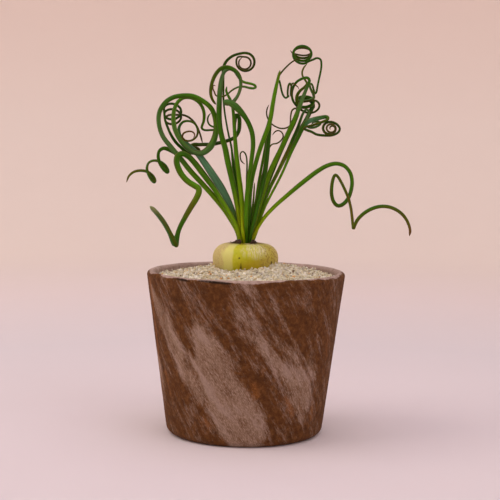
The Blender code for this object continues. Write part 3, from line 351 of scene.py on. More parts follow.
LEAVES = {
    "left_ring": dict(
        spot=(1, 0), widths=(1.7, 2.6, 2.9, 3.1, 3.2, 3.2, 3.1, 2.9, 2.7, 2.8, 2.9, 2.9, 3.0, 3.2, 4.2,
            3.2, 2.8, 2.8, 2.3, 2.1, 2.0, 1.4, 1.2, 0.9),
        route=[(-5.2, 120, -2), (-8.6, 127, -2.5), (-13.4, 134.5, -3), (-20, 142.5, -3.5),
            (-27.2, 150.4, -4), (-34.3, 157.9, -4), (-40, 164.9, -4), (-45.6, 171.5, -4.5),
            (-50.9, 178.3, -5), (-53.4, 186, -5.5), (-53, 192.9, -5.5), (-49.6, 198.5, -5),
            (-44.8, 201.6, -4), (-39, 202.7, -2.5), (-33, 202.4, -1), (-26.8, 199.4, 0.5), (-22.1, 195.3, 2),
            (-19.7, 189.5, 3), (-19.1, 183, 3.5), (-20.3, 176.8, 3.5), (-23.2, 171.6, 3), (-27.6, 168.6, 2),
            (-32.2, 169.1, 0.5), (-36.5, 171.8, -1), (-40.5, 176.3, -1.5), (-43.5, 182, -1.5),
            (-44.7, 188.5, -1), (-44.2, 194.3, 0), (-42.3, 198.6, 1), (-38.7, 201.4, 2), (-33.7, 201.3, 3),
            (-29.1, 198.4, 4), (-26.6, 193.5, 5), (-26.5, 188, 6), (-27.7, 183.7, 7.3), (-26.1, 182.4, 9),
            (-22.5, 182.4, 9.5), (-19, 182.8, 9), (-18.5, 183.7, 8), (-20.3, 184.2, 7.3), (-23, 185.5, 7),
            (-24.2, 188, 6.5), (-23.7, 190.8, 6), (-22.2, 192.5, 5.5)]),
    "left_drooping": dict(
        spot=(0, 0), widths=(1.7, 2.6, 2.8, 2.8, 2.8, 3.0, 3.4, 3.7, 3.7, 3.8, 3.5, 2.9, 2.8, 3.2, 3.3,
            3.0),
        route=[(-5.2, 122.5, -4.5), (-9.6, 131.3, -5), (-14.7, 139.5, -5), (-19.3, 146.3, -5),
            (-23.6, 151.8, -5), (-27.5, 156.8, -5.2), (-31.4, 162, -5.7), (-35.5, 166.4, -7),
            (-39.3, 168.1, -8.5), (-41.9, 166.8, -9.5), (-42.6, 163.2, -10), (-41.3, 158.8, -10.5),
            (-38.8, 154.6, -11.5), (-35.3, 151.2, -12), (-31.3, 148.8, -11.8), (-29.4, 147.5, -12.8),
            (-29, 145.4, -14.5), (-30.2, 142, -16), (-33.5, 136.4, -17), (-37.1, 130, -18),
            (-40.7, 122.6, -19), (-42.5, 115.4, -20), (-42.9, 112.8, -22), (-43.8, 114.4, -24.5),
            (-46.3, 119.9, -25.5), (-49.7, 126, -26), (-54, 131.7, -26.3), (-58.4, 136.3, -26.5)]),
    "left_corkscrew": dict(
        spot=(2, 0), widths=(1.6, 1.9, 2.0, 2.1, 2.2, 2.3, 2.4, 2.3, 2.2, 2.3, 2.4, 2.5, 1.9, 2.2, 2.2,
            2.2, 1.8, 1.5, 2.0, 2.1, 2.0, 1.9, 1.6, 1.0),
        route=[(-5.6, 120, 1.5), (-9.3, 128, 3), (-15, 136.5, 4.5), (-22.6, 145.5, 6), (-30.2, 154, 7.5),
            (-36.3, 161, 9), (-41.1, 166.6, 10), (-46, 169.8, 10), (-50.2, 171.2, 8.5), (-53, 169.5, 6),
            (-53.6, 165.8, 4), (-52.4, 161.9, 3), (-50, 158.3, 3), (-48.1, 156.9, 5), (-47.8, 158, 8),
            (-49.2, 160.6, 10), (-52.1, 163, 11), (-56, 163.8, 10), (-59.2, 162.5, 7.5), (-60.4, 159, 5.5),
            (-59.3, 155.2, 4.5), (-57.4, 152, 4.5), (-55.7, 150.7, 6.5), (-55.4, 152, 9), (-56.8, 154.6, 11),
            (-60, 157, 12), (-64.4, 157.7, 11.5), (-68.4, 156.7, 10.5), (-71.2, 154.2, 9.5),
            (-72.6, 150.4, 8.5)]),
    "left_inner_coil": dict(
        spot=(3, 0), widths=(1.6, 2.0, 2.0, 1.9, 1.9, 1.9, 1.9, 1.9, 1.5, 1.4, 1.5, 1.5, 1.4, 1.4, 1.4,
            1.4, 1.4, 1.3, 1.0),
        route=[(-5, 120, 3), (-8, 128, 5), (-12.9, 137, 7), (-19, 147, 9), (-26.1, 157, 10.5),
            (-32.3, 164.5, 11.5), (-38, 170, 12), (-42.9, 174.6, 10.5), (-45.9, 179, 8.5), (-47.9, 183.3, 6),
            (-49.6, 188, 4.2)] +
            coil((-45.3, 194.8, 5), (-44.9, 187.7, 12), (5.2, 4.8), -2.3, 195, (0.76, 0.74), 0) +
            [(-42.2, 191.3, 15), (-39.2, 191.3, 14.5), (-35.7, 190, 13.5), (-32.5, 187.3, 12.5),
            (-30.1, 183.6, 11), (-28.4, 179.3, 10.5), (-27.1, 174.6, 10)]),
    "left_wide": dict(
        spot=(2, 1), widths=(1.7, 3.0, 4.0, 4.6, 4.8, 4.6, 3.9, 2.9, 2.2, 1.5, 1.3, 1.3, 1.2, 0.9),
        route=[(-4.3, 121, 0), (-7, 130, 0.5), (-10.5, 138.5, 1), (-15.1, 147, 1.5), (-20.4, 155, 2),
            (-25.2, 162, 2.5), (-29.2, 167.3, 3.5), (-33.6, 171.5, 4.5), (-37.8, 175.3, 5.5),
            (-40.9, 179.5, 5.5), (-41.2, 183.8, 4.5), (-39, 187, 3.5), (-35.3, 187.6, 3), (-31.8, 186, 2.5),
            (-30.1, 182.5, 2), (-30.6, 178.8, 1.5), (-33.3, 176.3, 1), (-36.6, 175.8, 0.5), (-39.1, 177.3, 0),
            (-38.8, 179.9, -0.5), (-36.3, 181.3, -1), (-33.5, 181.3, -1.5), (-31.9, 179.7, -2),
            (-32.6, 177.4, -2.5)]),
    "centre_crossing": dict(
        spot=(3, 1), widths=(1.6, 2.2, 2.4, 2.4, 2.3, 2.1, 2.1, 2.5, 2.2, 2.3, 2.2, 2.0, 1.8, 1.5, 1.0),
        route=[(-3, 122, 3), (-4, 135, 5), (-5.3, 150, 7), (-6.8, 165, 9), (-7.8, 178, 10.5),
            (-8, 187, 11.5), (-6.9, 191.8, 12), (-5.5, 190.4, 11), (-5.1, 186, 9.5), (-5.7, 181.6, 8),
            (-8, 178.2, 7), (-12, 176.3, 6.5), (-17, 174.9, 7.5), (-22, 173.9, 10.5), (-26.5, 173.8, 14.5)] +
            coil((-30.3, 171.9, 16.5), (-36.4, 169, 18), (3.4, 3.2), 2.4, 70, (0.56, 0.5), -14)),
    "centre_hook": dict(
        spot=(1, 1), widths=(1.7, 2.6, 3.2, 3.3, 3.4, 3.6, 3.4, 3.1, 3.3, 3.0, 2.3, 1.5, 1.6, 1.5, 1.1,
            1.0, 0.8),
        route=[(-3.6, 122, -2.5), (-5, 133, -3), (-7.1, 144, -3.5), (-9.5, 154, -4), (-11.9, 164, -4.5),
            (-13.6, 172, -5), (-15.7, 179, -5), (-17, 186, -4.5), (-17.4, 193, -4), (-17.3, 200, -3),
            (-17, 207, -2), (-16.1, 213, -1), (-14.4, 217.2, 0.5), (-11.5, 218.8, 2), (-8.7, 217.6, 3.5),
            (-6.4, 214.5, 5), (-4.4, 212.1, 6), (-2.2, 211, 6.5), (0.2, 210.5, 6), (2.4, 210, 5),
            (4, 209.2, 4), (4.2, 208.2, 2.5), (3, 207.6, 1), (0.4, 207.8, 0), (-2.8, 208.5, -1),
            (-6, 208.2, -0.5), (-9, 206.8, 0), (-11.4, 204.9, 0.8), (-13.6, 203.2, 1.8), (-16.6, 202.3, 2.6),
            (-19.4, 203.1, 2.4), (-20.4, 205.2, 1.6), (-21.3, 207.3, 1.6), (-20.9, 209.3, 2),
            (-19.6, 208.6, 2.6)]),
    "centre_top_coil": dict(
        spot=(2, 2), widths=(1.6, 1.9, 2.1, 2.3, 2.2, 1.3, 1.1, 1.1, 1.3, 1.9, 1.6, 1.6, 1.3, 1.2, 1.2,
            1.0),
        route=[(-2.2, 122, 1.5), (-4.2, 135, 4), (-6.6, 150, 6), (-8.6, 163, 7.5), (-9.9, 173, 8.5),
            (-11.6, 180, 8.5), (-13, 187, 8.5), (-14.1, 193.5, 8), (-14.8, 200, 7.5), (-15, 207, 7),
            (-15.2, 213.5, 7), (-15.2, 218.5, 7.5), (-14.4, 221.7, 8), (-12.4, 224.5, 8.5), (-9.4, 226.7, 9),
            (-6.2, 227.8, 9.5)] +
            coil((-2, 223.1, 10), (-2.1, 223.1, 13), (5.4, 5.4), -0.85, 95, (0.99, 0.99), 0) +
            coil((-2.4, 222.4, 14), (-2.5, 222.5, 18), (3.8, 3.6), -0.95, 95, (0.99, 0.99), 0)),
    "centre_stub": dict(
        spot=(0, 1), widths=(1.7, 2.8, 3.0, 3.0, 3.0, 2.9, 2.6, 2.3, 2.0, 1.7, 1.4),
        route=[(-2.3, 122, -4.6), (-2.7, 133, -5), (-3.7, 145, -5.5), (-5.2, 156, -6), (-6.6, 167, -6),
            (-7.6, 177, -6), (-8.3, 186, -5.5), (-9, 194, -4.5), (-10.2, 199.5, -3.5), (-12.1, 203.1, -3),
            (-13.3, 206, -3), (-12.9, 208.5, -3)]),
    "centre_ring": dict(
        spot=(0, 2), widths=(1.7, 2.6, 2.9, 2.8, 2.7, 2.6, 2.7, 2.9, 2.9, 4.4, 2.6, 2.0, 2.2, 2.5, 2.4,
            2.0, 1.4),
        route=[(-0.2, 122, -4.5), (-0.5, 133, -6.5), (0.1, 145, -9), (1.3, 156, -11), (2.5, 166, -12.5),
            (3.2, 174, -13.5), (2.5, 181, -14), (-0.1, 187.6, -14), (-3.3, 192.3, -13.5), (-6.6, 195.8, -13),
            (-9.8, 198.2, -12.5), (-12.6, 199.3, -11.5), (-13.9, 198.9, -9.5), (-12, 198.2, -8),
            (-9.3, 199.4, -7), (-6.9, 202.2, -6), (-5.3, 205.9, -5), (-4.6, 210, -3.5), (-5.3, 214.2, -2),
            (-7.7, 217.6, -1), (-11.7, 219.7, -1.5), (-15.7, 219.5, -2.5), (-19, 216.6, -3.5),
            (-21.3, 212.1, -4), (-22.5, 206.9, -3.5), (-22.3, 202.8, -2.5), (-21, 199.8, -1),
            (-19.2, 197.6, 1)]),
    "centre_thin_loop": dict(
        spot=(1, 2), widths=(1.6, 1.6, 1.4, 1.2, 1.1, 1.0, 0.9, 0.8),
        route=[(-0.4, 122, -2), (-0.5, 135, -1.5), (-0.4, 148, -1), (-0.3, 158, -0.5), (-0.3, 163, 0),
            (-0.7, 166.8, 0.5), (-1.8, 169.2, 1), (-3.1, 169.9, 1), (-4.2, 168.9, 0.5), (-4.4, 166.4, 0),
            (-3.7, 164.2, -0.5), (-2.5, 163, -1), (-1.5, 162.3, -1.3)]),
    "short_tip": dict(
        spot=(2, 3), widths=(1.7, 1.8, 1.6, 1.2, 0.8),
        route=[(1.6, 121, -1), (2.8, 130, -2), (3.8, 140, -3), (4.2, 147, -3.2), (4.35, 151.4, -3)]),
    "right_blade": dict(
        spot=(1, 3), widths=(1.7, 2.2, 2.4, 2.5, 2.6, 2.7, 2.8, 2.7, 2.3, 1.5),
        route=[(1.8, 121, -3), (1.6, 132, -4), (1.7, 143, -5.2), (2.7, 152.5, -6.5), (4.6, 161.5, -7.5),
            (6.9, 170, -8.5), (9.5, 177.5, -9), (12, 184.5, -9), (13.5, 190.5, -8.5), (14.6, 198, -8),
            (15.8, 205, -7.5), (17, 211, -7), (18, 215.5, -6.5), (18.7, 218.6, -6)]),
    "right_squiggle": dict(
        spot=(0, 3), widths=(1.7, 2.6, 2.9, 3.0, 3.0, 2.8, 2.4, 1.8, 1.4, 1.2, 1.2, 1.3, 1.4, 1.2, 0.8),
        route=[(2.8, 121, -4.5), (4.8, 131, -5), (7, 141, -4.8), (9.1, 150, -4.2), (10.7, 159, -3.5),
            (11.7, 168, -3), (12.4, 176, -2.5), (13, 184, -2), (13.4, 191, -1.5), (14.2, 198, -1),
            (15.4, 205, -1), (16.8, 210, -1.5), (18.1, 212.6, -2), (19.1, 209.5, -2.5), (19.9, 206, -3),
            (21, 203.3, -4.5), (22.5, 202.1, -6.5)] +
            coil((23.6, 206.8, -4), (26.6, 207.3, 5), (3.9, 3.7), -1.6, -60, (0.2, 0.2), 90) +
            [(28.2, 209.6, 6), (29.4, 208.8, 6.5), (30.2, 207.2, 7)]),
    "right_top": dict(
        spot=(2, 4), widths=(1.6, 2.0, 1.9, 1.8, 1.7, 1.6, 1.4, 1.3, 1.2, 1.1, 1.0, 0.8),
        route=[(2.9, 121, 0.5), (4.3, 131, 1), (5.6, 141, 1.5), (6.7, 150, 2), (8, 158, 2.5),
            (9.4, 166, 3), (10.7, 174, 3.5), (11.9, 181.5, 4), (13, 189, 4.5), (14.2, 197, 5),
            (15.5, 204.5, 5.5), (16.8, 210.5, 6), (18.2, 215.2, 6.5), (20.3, 218.2, 7), (22.9, 221, 7.5),
            (25.9, 223.6, 8), (29, 225.2, 8.5), (32, 225.8, 9)]),
    "middle_thin_ring": dict(
        spot=(3, 2), widths=(1.6, 1.6, 1.4, 1.2, 1.0, 0.9, 0.9, 0.8),
        route=[(1.2, 121, 2.5), (3.8, 133, 3.5), (6.8, 146, 4.5), (9.3, 157, 5), (11.3, 166, 5),
            (12.7, 171.8, 5), (14.6, 174.4, 4.5), (17.4, 175, 4), (19.9, 176.8, 3.5), (21.2, 179.4, 3),
            (20.1, 181.8, 2.5), (18, 182.7, 2), (16, 181.7, 1.5), (14.7, 179.8, 1.2)]),
    "right_arch": dict(
        spot=(3, 3), widths=(1.7, 2.4, 2.8, 3.0, 3.0, 2.9, 2.8, 2.7, 2.7, 2.5, 2.0, 1.6, 1.5, 1.4, 1.3,
            1.3, 1.0),
        route=[(3.2, 121, 2), (5.6, 131, 2), (8.4, 141, 1.8), (11, 150, 1.5), (13.5, 157.5, 1),
            (16.4, 164.4, 0.5), (19.6, 171, 0), (22.6, 177.9, 0), (25.4, 184.2, 0.5), (28, 190, 1),
            (30.2, 195.7, 2), (32.1, 201, 3), (33.9, 206, 4), (35.5, 210, 5), (36.3, 212.8, 6),
            (35, 214.3, 7), (32, 213.7, 8), (28.8, 211.8, 8.5), (26.7, 208.5, 8.5), (25.9, 204.5, 8),
            (26.7, 200.7, 7.5), (28.9, 197.6, 7), (32, 195, 6.5), (36, 193.4, 6), (39.8, 194.1, 5.5),
            (42, 196, 5), (42.5, 198.4, 5), (41, 200.4, 5.5), (38, 201, 6), (34.8, 200.4, 7),
            (31.8, 199.9, 8), (29.6, 200.2, 9)]),
    "right_inner": dict(
        spot=(4, 2), widths=(1.6, 2.0, 2.2, 2.3, 2.3, 2.3, 2.4, 2.3, 2.1, 1.9, 1.2, 1.0),
        route=[(2.6, 121, 5.5), (5.8, 132, 8), (9.4, 143, 10), (13.2, 153, 11.5), (16.8, 162.5, 12.5),
            (20.5, 171.6, 13), (24.2, 180.1, 13), (27.9, 188, 13), (29.9, 194.5, 12.5), (29.1, 199.5, 11.8),
            (29, 203.3, 11.2), (30.8, 206.4, 11), (33.4, 208.7, 11), (34.9, 210.8, 11), (33.8, 212.8, 12),
            (32.3, 215, 13), (31.9, 217.6, 14), (33, 220.5, 15), (34.8, 222.6, 16)]),
    "middle_loop": dict(
        spot=(4, 1), widths=(1.6, 1.8, 1.8, 1.7, 1.5, 1.3, 1.2, 1.1, 1.0, 0.9, 0.8),
        route=[(1.2, 121, 5.5), (4.6, 132, 9.5), (8.7, 144, 13), (13.2, 156, 15.5), (18, 167, 17),
            (22.5, 177, 18), (26.5, 186, 18), (29, 192.5, 17.5), (28.6, 196, 16), (26.4, 195, 14.5),
            (25.5, 191.5, 13), (25.4, 188, 12), (25.1, 185.7, 11), (23, 184.3, 10), (19.5, 184, 9.5),
            (16, 185.3, 9), (12.9, 187.9, 8.5), (11.3, 191.2, 8), (11.1, 194.7, 7.5), (12.3, 198, 7)]),
    "right_tall": dict(
        spot=(4, 3), widths=(1.6, 2.0, 2.1, 2.2, 2.5, 2.8, 2.6, 2.2, 2.0, 1.9, 2.1, 1.3, 1.2, 1.3, 1.5,
            1.5, 1.5, 1.5, 1.4, 1.4, 1.2, 1.0),
        route=[(5.2, 121, 5), (7.8, 131, 7), (10.8, 140.5, 8.5), (14, 149, 9), (17.8, 156.9, 9.5),
            (21.2, 164, 10), (24.2, 170.3, 10.3), (27.2, 176.3, 10.6), (30.1, 181.4, 11), (32.9, 185.9, 11.8),
            (35.2, 190.2, 13), (37, 193.9, 15), (38.2, 196.4, 17)] +
            coil((34.3, 197.6, 20), (34.2, 202.7, 17), (4.5, 4.9), 2, -5, (0.8, 0.26), 0) +
            [(38.9, 204.2, 16.6), (37.9, 206.2, 16.4), (36.9, 208.3, 16.2), (36.5, 210.2, 16.4),
            (37.5, 210.9, 17.2), (38.5, 209, 18), (39.2, 206.6, 18.8), (39.9, 204.9, 19.6),
            (40.6, 205.8, 20.3), (41.1, 208.6, 20.6), (41.9, 213, 20.8), (42.9, 218, 21), (43.3, 222.3, 21.3),
            (42.7, 225.2, 21.5), (40.6, 226, 21.5), (38.2, 225, 21.2)] +
            coil((31.8, 227.9, 20.5), (31.9, 229.6, 31), (5.5, 5.2), -3.2, -45, (1.0, 0.4), 0) +
            [(25.4, 229.2, 32), (24.6, 230.4, 32.5)]),
    "right_coils": dict(
        spot=(2, 5), widths=(1.6, 1.6, 1.5, 1.5, 1.5, 1.6, 2.0, 2.5, 3.1, 2.3, 1.9, 1.7, 1.6, 1.5, 1.5,
            1.7, 1.5, 1.3, 1.0),
        route=[(5.9, 121, 0), (8.2, 129.5, -0.5), (11, 137.1, -1.5), (14.3, 144, -2.5),
            (17.8, 150.8, -3.5), (20.9, 157.2, -4.5), (23.5, 163.4, -5.5), (25.8, 169.2, -6.5),
            (28.2, 174.6, -7), (30.5, 179.6, -7.5), (32.7, 184.3, -8), (35.4, 187.9, -8.5),
            (39.4, 189.6, -9.5), (43.4, 190.7, -10.5), (46.9, 191.2, -12.5), (47.6, 190, -15.5),
            (45.4, 188.7, -17.5), (41.7, 187.4, -18), (37.8, 186, -17.5), (34.6, 185.2, -17),
            (33.2, 184.2, -16.5), (34.9, 183.3, -16), (38, 182.2, -15.5), (41, 180.7, -15),
            (45.5, 180.1, -14.5), (50.5, 180.3, -13.5), (54, 182, -12.5), (55, 184.2, -12),
            (53.3, 186.8, -12), (49.8, 188.3, -12.5)] +
            coil((48.6, 184.2, -13), (50.7, 184.2, -22), (4.1, 1.5), 2.3, 100, (0.95, 0.9), 0)),
    "right_short": dict(
        spot=(3, 4), widths=(1.6, 1.8, 1.7, 1.6, 1.5, 1.5, 1.7, 2.0, 1.8, 1.5, 1.5, 1.4, 1.0),
        route=[(4.8, 121, 2.5), (7.9, 132, 3.2), (11.6, 143, 3.5), (15.9, 153, 3.5), (20.2, 162.4, 3.2),
            (24.1, 171, 3), (27.3, 178.5, 3), (29.6, 184, 2.8), (31.2, 188.6, 2.4), (32.6, 192.6, 1.8),
            (34.6, 195.4, 0.8), (36.2, 194.4, -0.5), (35.7, 190.8, -1.5), (34.6, 187.6, -2),
            (35.4, 185.4, -2), (38, 184.6, -2), (41, 185.3, -2), (43.4, 187, -2.5), (42.4, 188.3, -3),
            (39.6, 188, -4), (37.9, 186.8, -5)]),
    "right_long": dict(
        spot=(1, 4), widths=(1.7, 2.2, 2.3, 2.5, 2.8, 2.8, 2.6, 2.3, 2.4, 2.5, 2.4, 2.1, 2.1, 2.1, 2.2,
            2.4, 2.3, 2.1, 1.7),
        route=[(6, 122.7, -2.5), (10.1, 129.7, -3), (15.7, 136.2, -3.5), (22.6, 142.6, -4.5),
            (29.7, 148.8, -6), (36, 154, -7.5), (41.7, 158.4, -9), (47.5, 161.9, -11), (53, 163.4, -12.5),
            (58.1, 162.1, -14), (61.7, 158.1, -15), (63, 152.7, -15.5), (62.4, 147, -16), (60.5, 142, -17),
            (57.3, 138.7, -18.5), (54.5, 138.1, -20), (52.1, 140.4, -21.5), (50.8, 144.5, -22.5),
            (50.7, 149.5, -23), (51.5, 154.4, -23.5), (52.7, 156.7, -24), (54.2, 156, -25),
            (56.8, 152, -25.5), (59.3, 147, -25.8), (61.4, 142, -26), (62.8, 136.5, -26.5),
            (63.7, 130.5, -27), (64.2, 126.3, -28), (64.5, 124.6, -30), (65.1, 126.2, -32), (67, 130, -33),
            (70.5, 133.6, -34), (75, 136.4, -34.5), (80, 137.9, -34.5), (85.1, 137.8, -34), (90, 136, -33),
            (94.1, 132.9, -32), (97, 128.6, -31), (98.5, 123.8, -30.5), (98.2, 120.4, -30)]),
}


def neck_spot(row, place):
    """Where a leaf stands in the neck: across and back."""
    across = NECK_MIDDLE + (place - (NECK_ROWS[row] - 1) / 2) * NECK_PITCH
    return across, (row - 2) * NECK_PITCH * math.sqrt(0.75)


def smooth_path(points):
    """A centripetal Catmull-Rom curve through the points, in even steps of about a sample."""
    p = np.array(points, float)
    p = np.vstack([2 * p[0] - p[1], p, 2 * p[-1] - p[-2]])
    fine = []
    for a, b, c, d in zip(p, p[1:], p[2:], p[3:]):
        ta = 0.0
        tb = ta + np.linalg.norm(b - a) ** 0.5
        tc = tb + np.linalg.norm(c - b) ** 0.5
        td = tc + np.linalg.norm(d - c) ** 0.5
        for t in np.linspace(tb, tc, SPAN_STEPS, endpoint=False):
            ab = a + (b - a) * (t - ta) / (tb - ta)
            bc = b + (c - b) * (t - tb) / (tc - tb)
            cd = c + (d - c) * (t - tc) / (td - tc)
            abc = ab + (bc - ab) * (t - ta) / (tc - ta)
            bcd = bc + (cd - bc) * (t - tb) / (td - tb)
            fine.append(abc + (bcd - abc) * (t - tb) / (tc - tb))
    fine.append(p[-2])
    fine = np.array(fine)
    run = np.concatenate([[0], np.cumsum(np.linalg.norm(np.diff(fine, axis=0), axis=1))])
    even = np.linspace(0, run[-1], round(run[-1] / SAMPLE) + 1)
    return np.stack([np.interp(even, run, fine[:, k]) for k in range(3)], 1)


def front_height(height, back):
    """Where a real height at some depth shows in the front view."""
    return VIEW_POINT[2] + (height - VIEW_POINT[2]) * VIEW_POINT[1] / (VIEW_POINT[1] - back)


def leaf_path(leaf):
    """The leaf's middle line in the front view, with its half widths: slim in the neck, then growing."""
    across, back = neck_spot(*leaf["spot"])
    base = [(across, front_height(height, back), back) for height in (PIT_FLOOR + FIT, NECK_TOP)]
    path = smooth_path(base + leaf["route"])
    widths = leaf["widths"]
    radii = np.interp(np.linspace(0, 1, len(path)), np.linspace(0, 1, len(widths)), widths) / 2
    slim = NECK_RADIUS + NECK_GROWTH * np.clip(path[:, 1] - NECK_TOP - 1, 0, None)
    past_neck = np.arange(len(path)) > NECK_REACH
    return path, np.where(past_neck, radii, np.minimum(radii, slim))


def close_pairs(paths, radii):
    """Points that cross in the front view, on two leaves or one, with the depth that keeps them clear."""
    names = list(paths)
    pairs = []
    for i, a in enumerate(names):
        for b in names[i:]:
            flat = np.linalg.norm(paths[a][:, None, :2] - paths[b][None, :, :2], axis=2)
            near = radii[a][:, None] + radii[b][None, :] + LEAF_GAP
            close = flat < near
            if a == b:
                index = np.arange(len(flat))
                along = (index[None, :] - index[:, None]) * SAMPLE
                close &= along > OWN_WIDTHS * near + 1
            rows, cols = np.nonzero(close)
            if len(rows):
                need = np.sqrt(near[rows, cols] ** 2 - flat[rows, cols] ** 2)
                pairs.append((a, b, rows, cols, need))
    return pairs


def lean(back, move, free, spread):
    """One leaf's depths after a round: moved at each place and along its length, then evened out."""
    here, along = SETTLE_SHARES
    back += (here * move + along * np.convolve(move, spread, mode="same")) * free
    bend = np.zeros(len(move))
    bend[1:-1] = (back[:-2] + back[2:]) / 2 - back[1:-1]
    back += LEAF_STIFFNESS * bend * free


def settle(paths, radii):
    """Leaves that would touch lean apart, only towards or away from the front, so the front outline stays."""
    pairs = close_pairs(paths, radii)
    free = {name: np.clip((path[:, 1] - FREE_FROM) / FREE_OVER, 0, 1) for name, path in paths.items()}
    back = {name: path[:, 2].copy() for name, path in paths.items()}
    spread = np.exp(-0.5 * (np.arange(-SETTLE_REACH, SETTLE_REACH + 1) / SETTLE_SPREAD) ** 2)
    spread /= spread.sum()
    for _ in range(SETTLE_ROUNDS):
        push = {name: np.zeros(len(path)) for name, path in paths.items()}
        pull = {name: np.zeros(len(path)) for name, path in paths.items()}
        for a, b, rows, cols, need in pairs:
            apart = back[b][cols] - back[a][rows]
            lack = np.clip(need - np.abs(apart), 0, None)
            share = np.where(apart >= 0, 1, -1) * lack / np.maximum(free[a][rows] + free[b][cols], 0.2)
            for name, where, move in ((a, rows, -share * free[a][rows]), (b, cols, share * free[b][cols])):
                np.maximum.at(push[name], where, move)
                np.minimum.at(pull[name], where, move)
        for name in paths:
            lean(back[name], push[name] + pull[name], free[name], spread)
    for name in paths:
        paths[name][:, 2] = back[name]


def seen(point):
    """The real place, in millimetres, of a point given by its place in the front view and its depth."""
    eye = np.array(VIEW_POINT)
    flat = np.array([point[0], 0.0, point[1]])
    return eye + (flat - eye) * (point[2] - eye[1]) / -eye[1]


def linear(colour):
    """An sRGB colour, each channel 0 to 255, as linear light with alpha."""
    return (*[(c / 255 / 12.92) if c <= 10 else ((c / 255 + 0.055) / 1.055) ** 2.4 for c in colour], 1)


def add(tree, kind, inputs=None, **settings):
    """A shader node with its settings and inputs: a socket is linked, anything else is a value."""
    made = tree.nodes.new("ShaderNode" + kind)
    for key, value in settings.items():
        setattr(made, key, value)
    for key, value in (inputs or {}).items():
        if isinstance(value, bpy.types.NodeSocket):
            tree.links.new(value, made.inputs[key])
        else:
            made.inputs[key].default_value = value
    return made


def attribute(tree, name, output="Fac"):
    return add(tree, "Attribute", attribute_name=name).outputs[output]


def calculate(tree, operation, *values):
    return add(tree, "Math", dict(enumerate(values)), operation=operation).outputs[0]


def times(tree, first, second):
    return calculate(tree, "MULTIPLY", first, second)


def plus(tree, total, *more):
    for value in more:
        total = calculate(tree, "ADD", total, value)
    return total


def blend(tree, factor, first, second, mode="MIX"):
    """Two colours mixed by a factor."""
    inputs = {0: factor, 6: first, 7: second}
    return add(tree, "Mix", inputs, data_type="RGBA", blend_type=mode).outputs[2]


def paint(tree, colour, cover, tint, share=1.0):
    """A colour with a tint over it, as densely as its cover (0 to 1) times a share."""
    dense = cover if share == 1 else times(tree, cover, share)
    return blend(tree, dense, colour, linear(tint))


def fade(tree, value, low, high, start=0.0, end=1.0):
    """A value's smooth step from low to high."""
    inputs = {0: value, 1: low, 2: high, 3: start, 4: end}
    return add(tree, "MapRange", inputs, interpolation_type="SMOOTHSTEP").outputs[0]


def speckle(tree, place, scale, detail, roughness):
    inputs = {"Vector": place, "Scale": scale, "Detail": detail, "Roughness": roughness}
    return add(tree, "TexNoise", inputs).outputs[0]


def ramp(tree, factor, stops):
    """Colours along a factor, from (position, sRGB colour) stops."""
    made = add(tree, "ValToRGB", {0: factor})
    elements = made.color_ramp.elements
    while len(elements) < len(stops):
        elements.new(0.5)
    for element, (position, colour) in zip(elements, stops):
        element.position = position
        element.color = linear(colour)
    return made.outputs[0]


def stretched(tree, place, *scale):
    return add(tree, "Mapping", {"Vector": place, "Scale": scale}).outputs[0]


def relief(tree, height, strength, distance):
    return add(tree, "Bump", {"Height": height, "Strength": strength, "Distance": distance}).outputs[0]


def new_material(name):
    """A material, its node tree, its shader and the place on the object in millimetres."""
    material = bpy.data.materials.new(name)
    material.use_nodes = True
    tree = material.node_tree
    spot = add(tree, "TexCoord").outputs["Object"]
    place = add(tree, "VectorMath", {0: spot, 3: 1 / MM}, operation="SCALE").outputs[0]
    return material, tree, tree.nodes["Principled BSDF"], place


def dress(tree, shader, colour, roughness, normal=None, **fixed):
    """Links the shader's colour, roughness and normal, and sets what is the same all over."""
    tree.links.new(colour, shader.inputs["Base Color"])
    if isinstance(roughness, bpy.types.NodeSocket):
        tree.links.new(roughness, shader.inputs["Roughness"])
    else:
        shader.inputs["Roughness"].default_value = roughness
    if normal:
        tree.links.new(normal, shader.inputs["Normal"])
    for key, value in fixed.items():
        shader.inputs[key.replace("_", " ")].default_value = value


def mesh_piece(name, points, faces, material, smooth=True):
    """A mesh object from points in millimetres."""
    mesh = bpy.data.meshes.new(name)
    mesh.from_pydata((np.asarray(points) * MM).tolist(), [], faces)
    if smooth:
        mesh.shade_smooth()
    mesh.materials.append(material)
    piece = bpy.data.objects.new(name, mesh)
    bpy.context.scene.collection.objects.link(piece)
    return piece


def store(piece, name, values, kind="FLOAT"):
    """A value for each vertex, which the materials read."""
    values = np.asarray(values, np.float32)
    made = piece.data.attributes.new(name, kind, "POINT")
    made.data.foreach_set("vector" if kind == "FLOAT_VECTOR" else "value", values.ravel())


def full_turn(sides):
    return np.linspace(0, 2 * math.pi, sides, endpoint=False)


def circle(sides, radius, height, middle=0.0):
    """Points in a ring round an upright axis. The radius may be one for each point, or (across, deep)."""
    angles = full_turn(sides)
    across, deep = radius if isinstance(radius, tuple) else (radius, radius)
    return np.stack([middle + across * np.cos(angles), deep * np.sin(angles), 0 * angles + height], 1)


def tube_faces(rows, sides, closed=False):
    """Faces of a skin over rows of points, in a ring of rows or capped at both ends."""
    faces = []
    for i in range(rows if closed else rows - 1):
        a, b = i * sides, (i + 1) % rows * sides
        faces += [(a + j, a + (j + 1) % sides, b + (j + 1) % sides, b + j) for j in range(sides)]
    if not closed:
        faces.append(tuple(reversed(range(sides))))
        faces.append(tuple((rows - 1) * sides + j for j in range(sides)))
    return faces


def rough(points, size, seed, octaves=4):
    """Smooth seeded noise, about -1 to 1, at each point."""
    shift = Vector((seed * 17.3, seed * 5.1, seed * 9.7))
    return np.array([noise.fractal(Vector(p) / size + shift, 1.0, 2.0, octaves) for p in points])


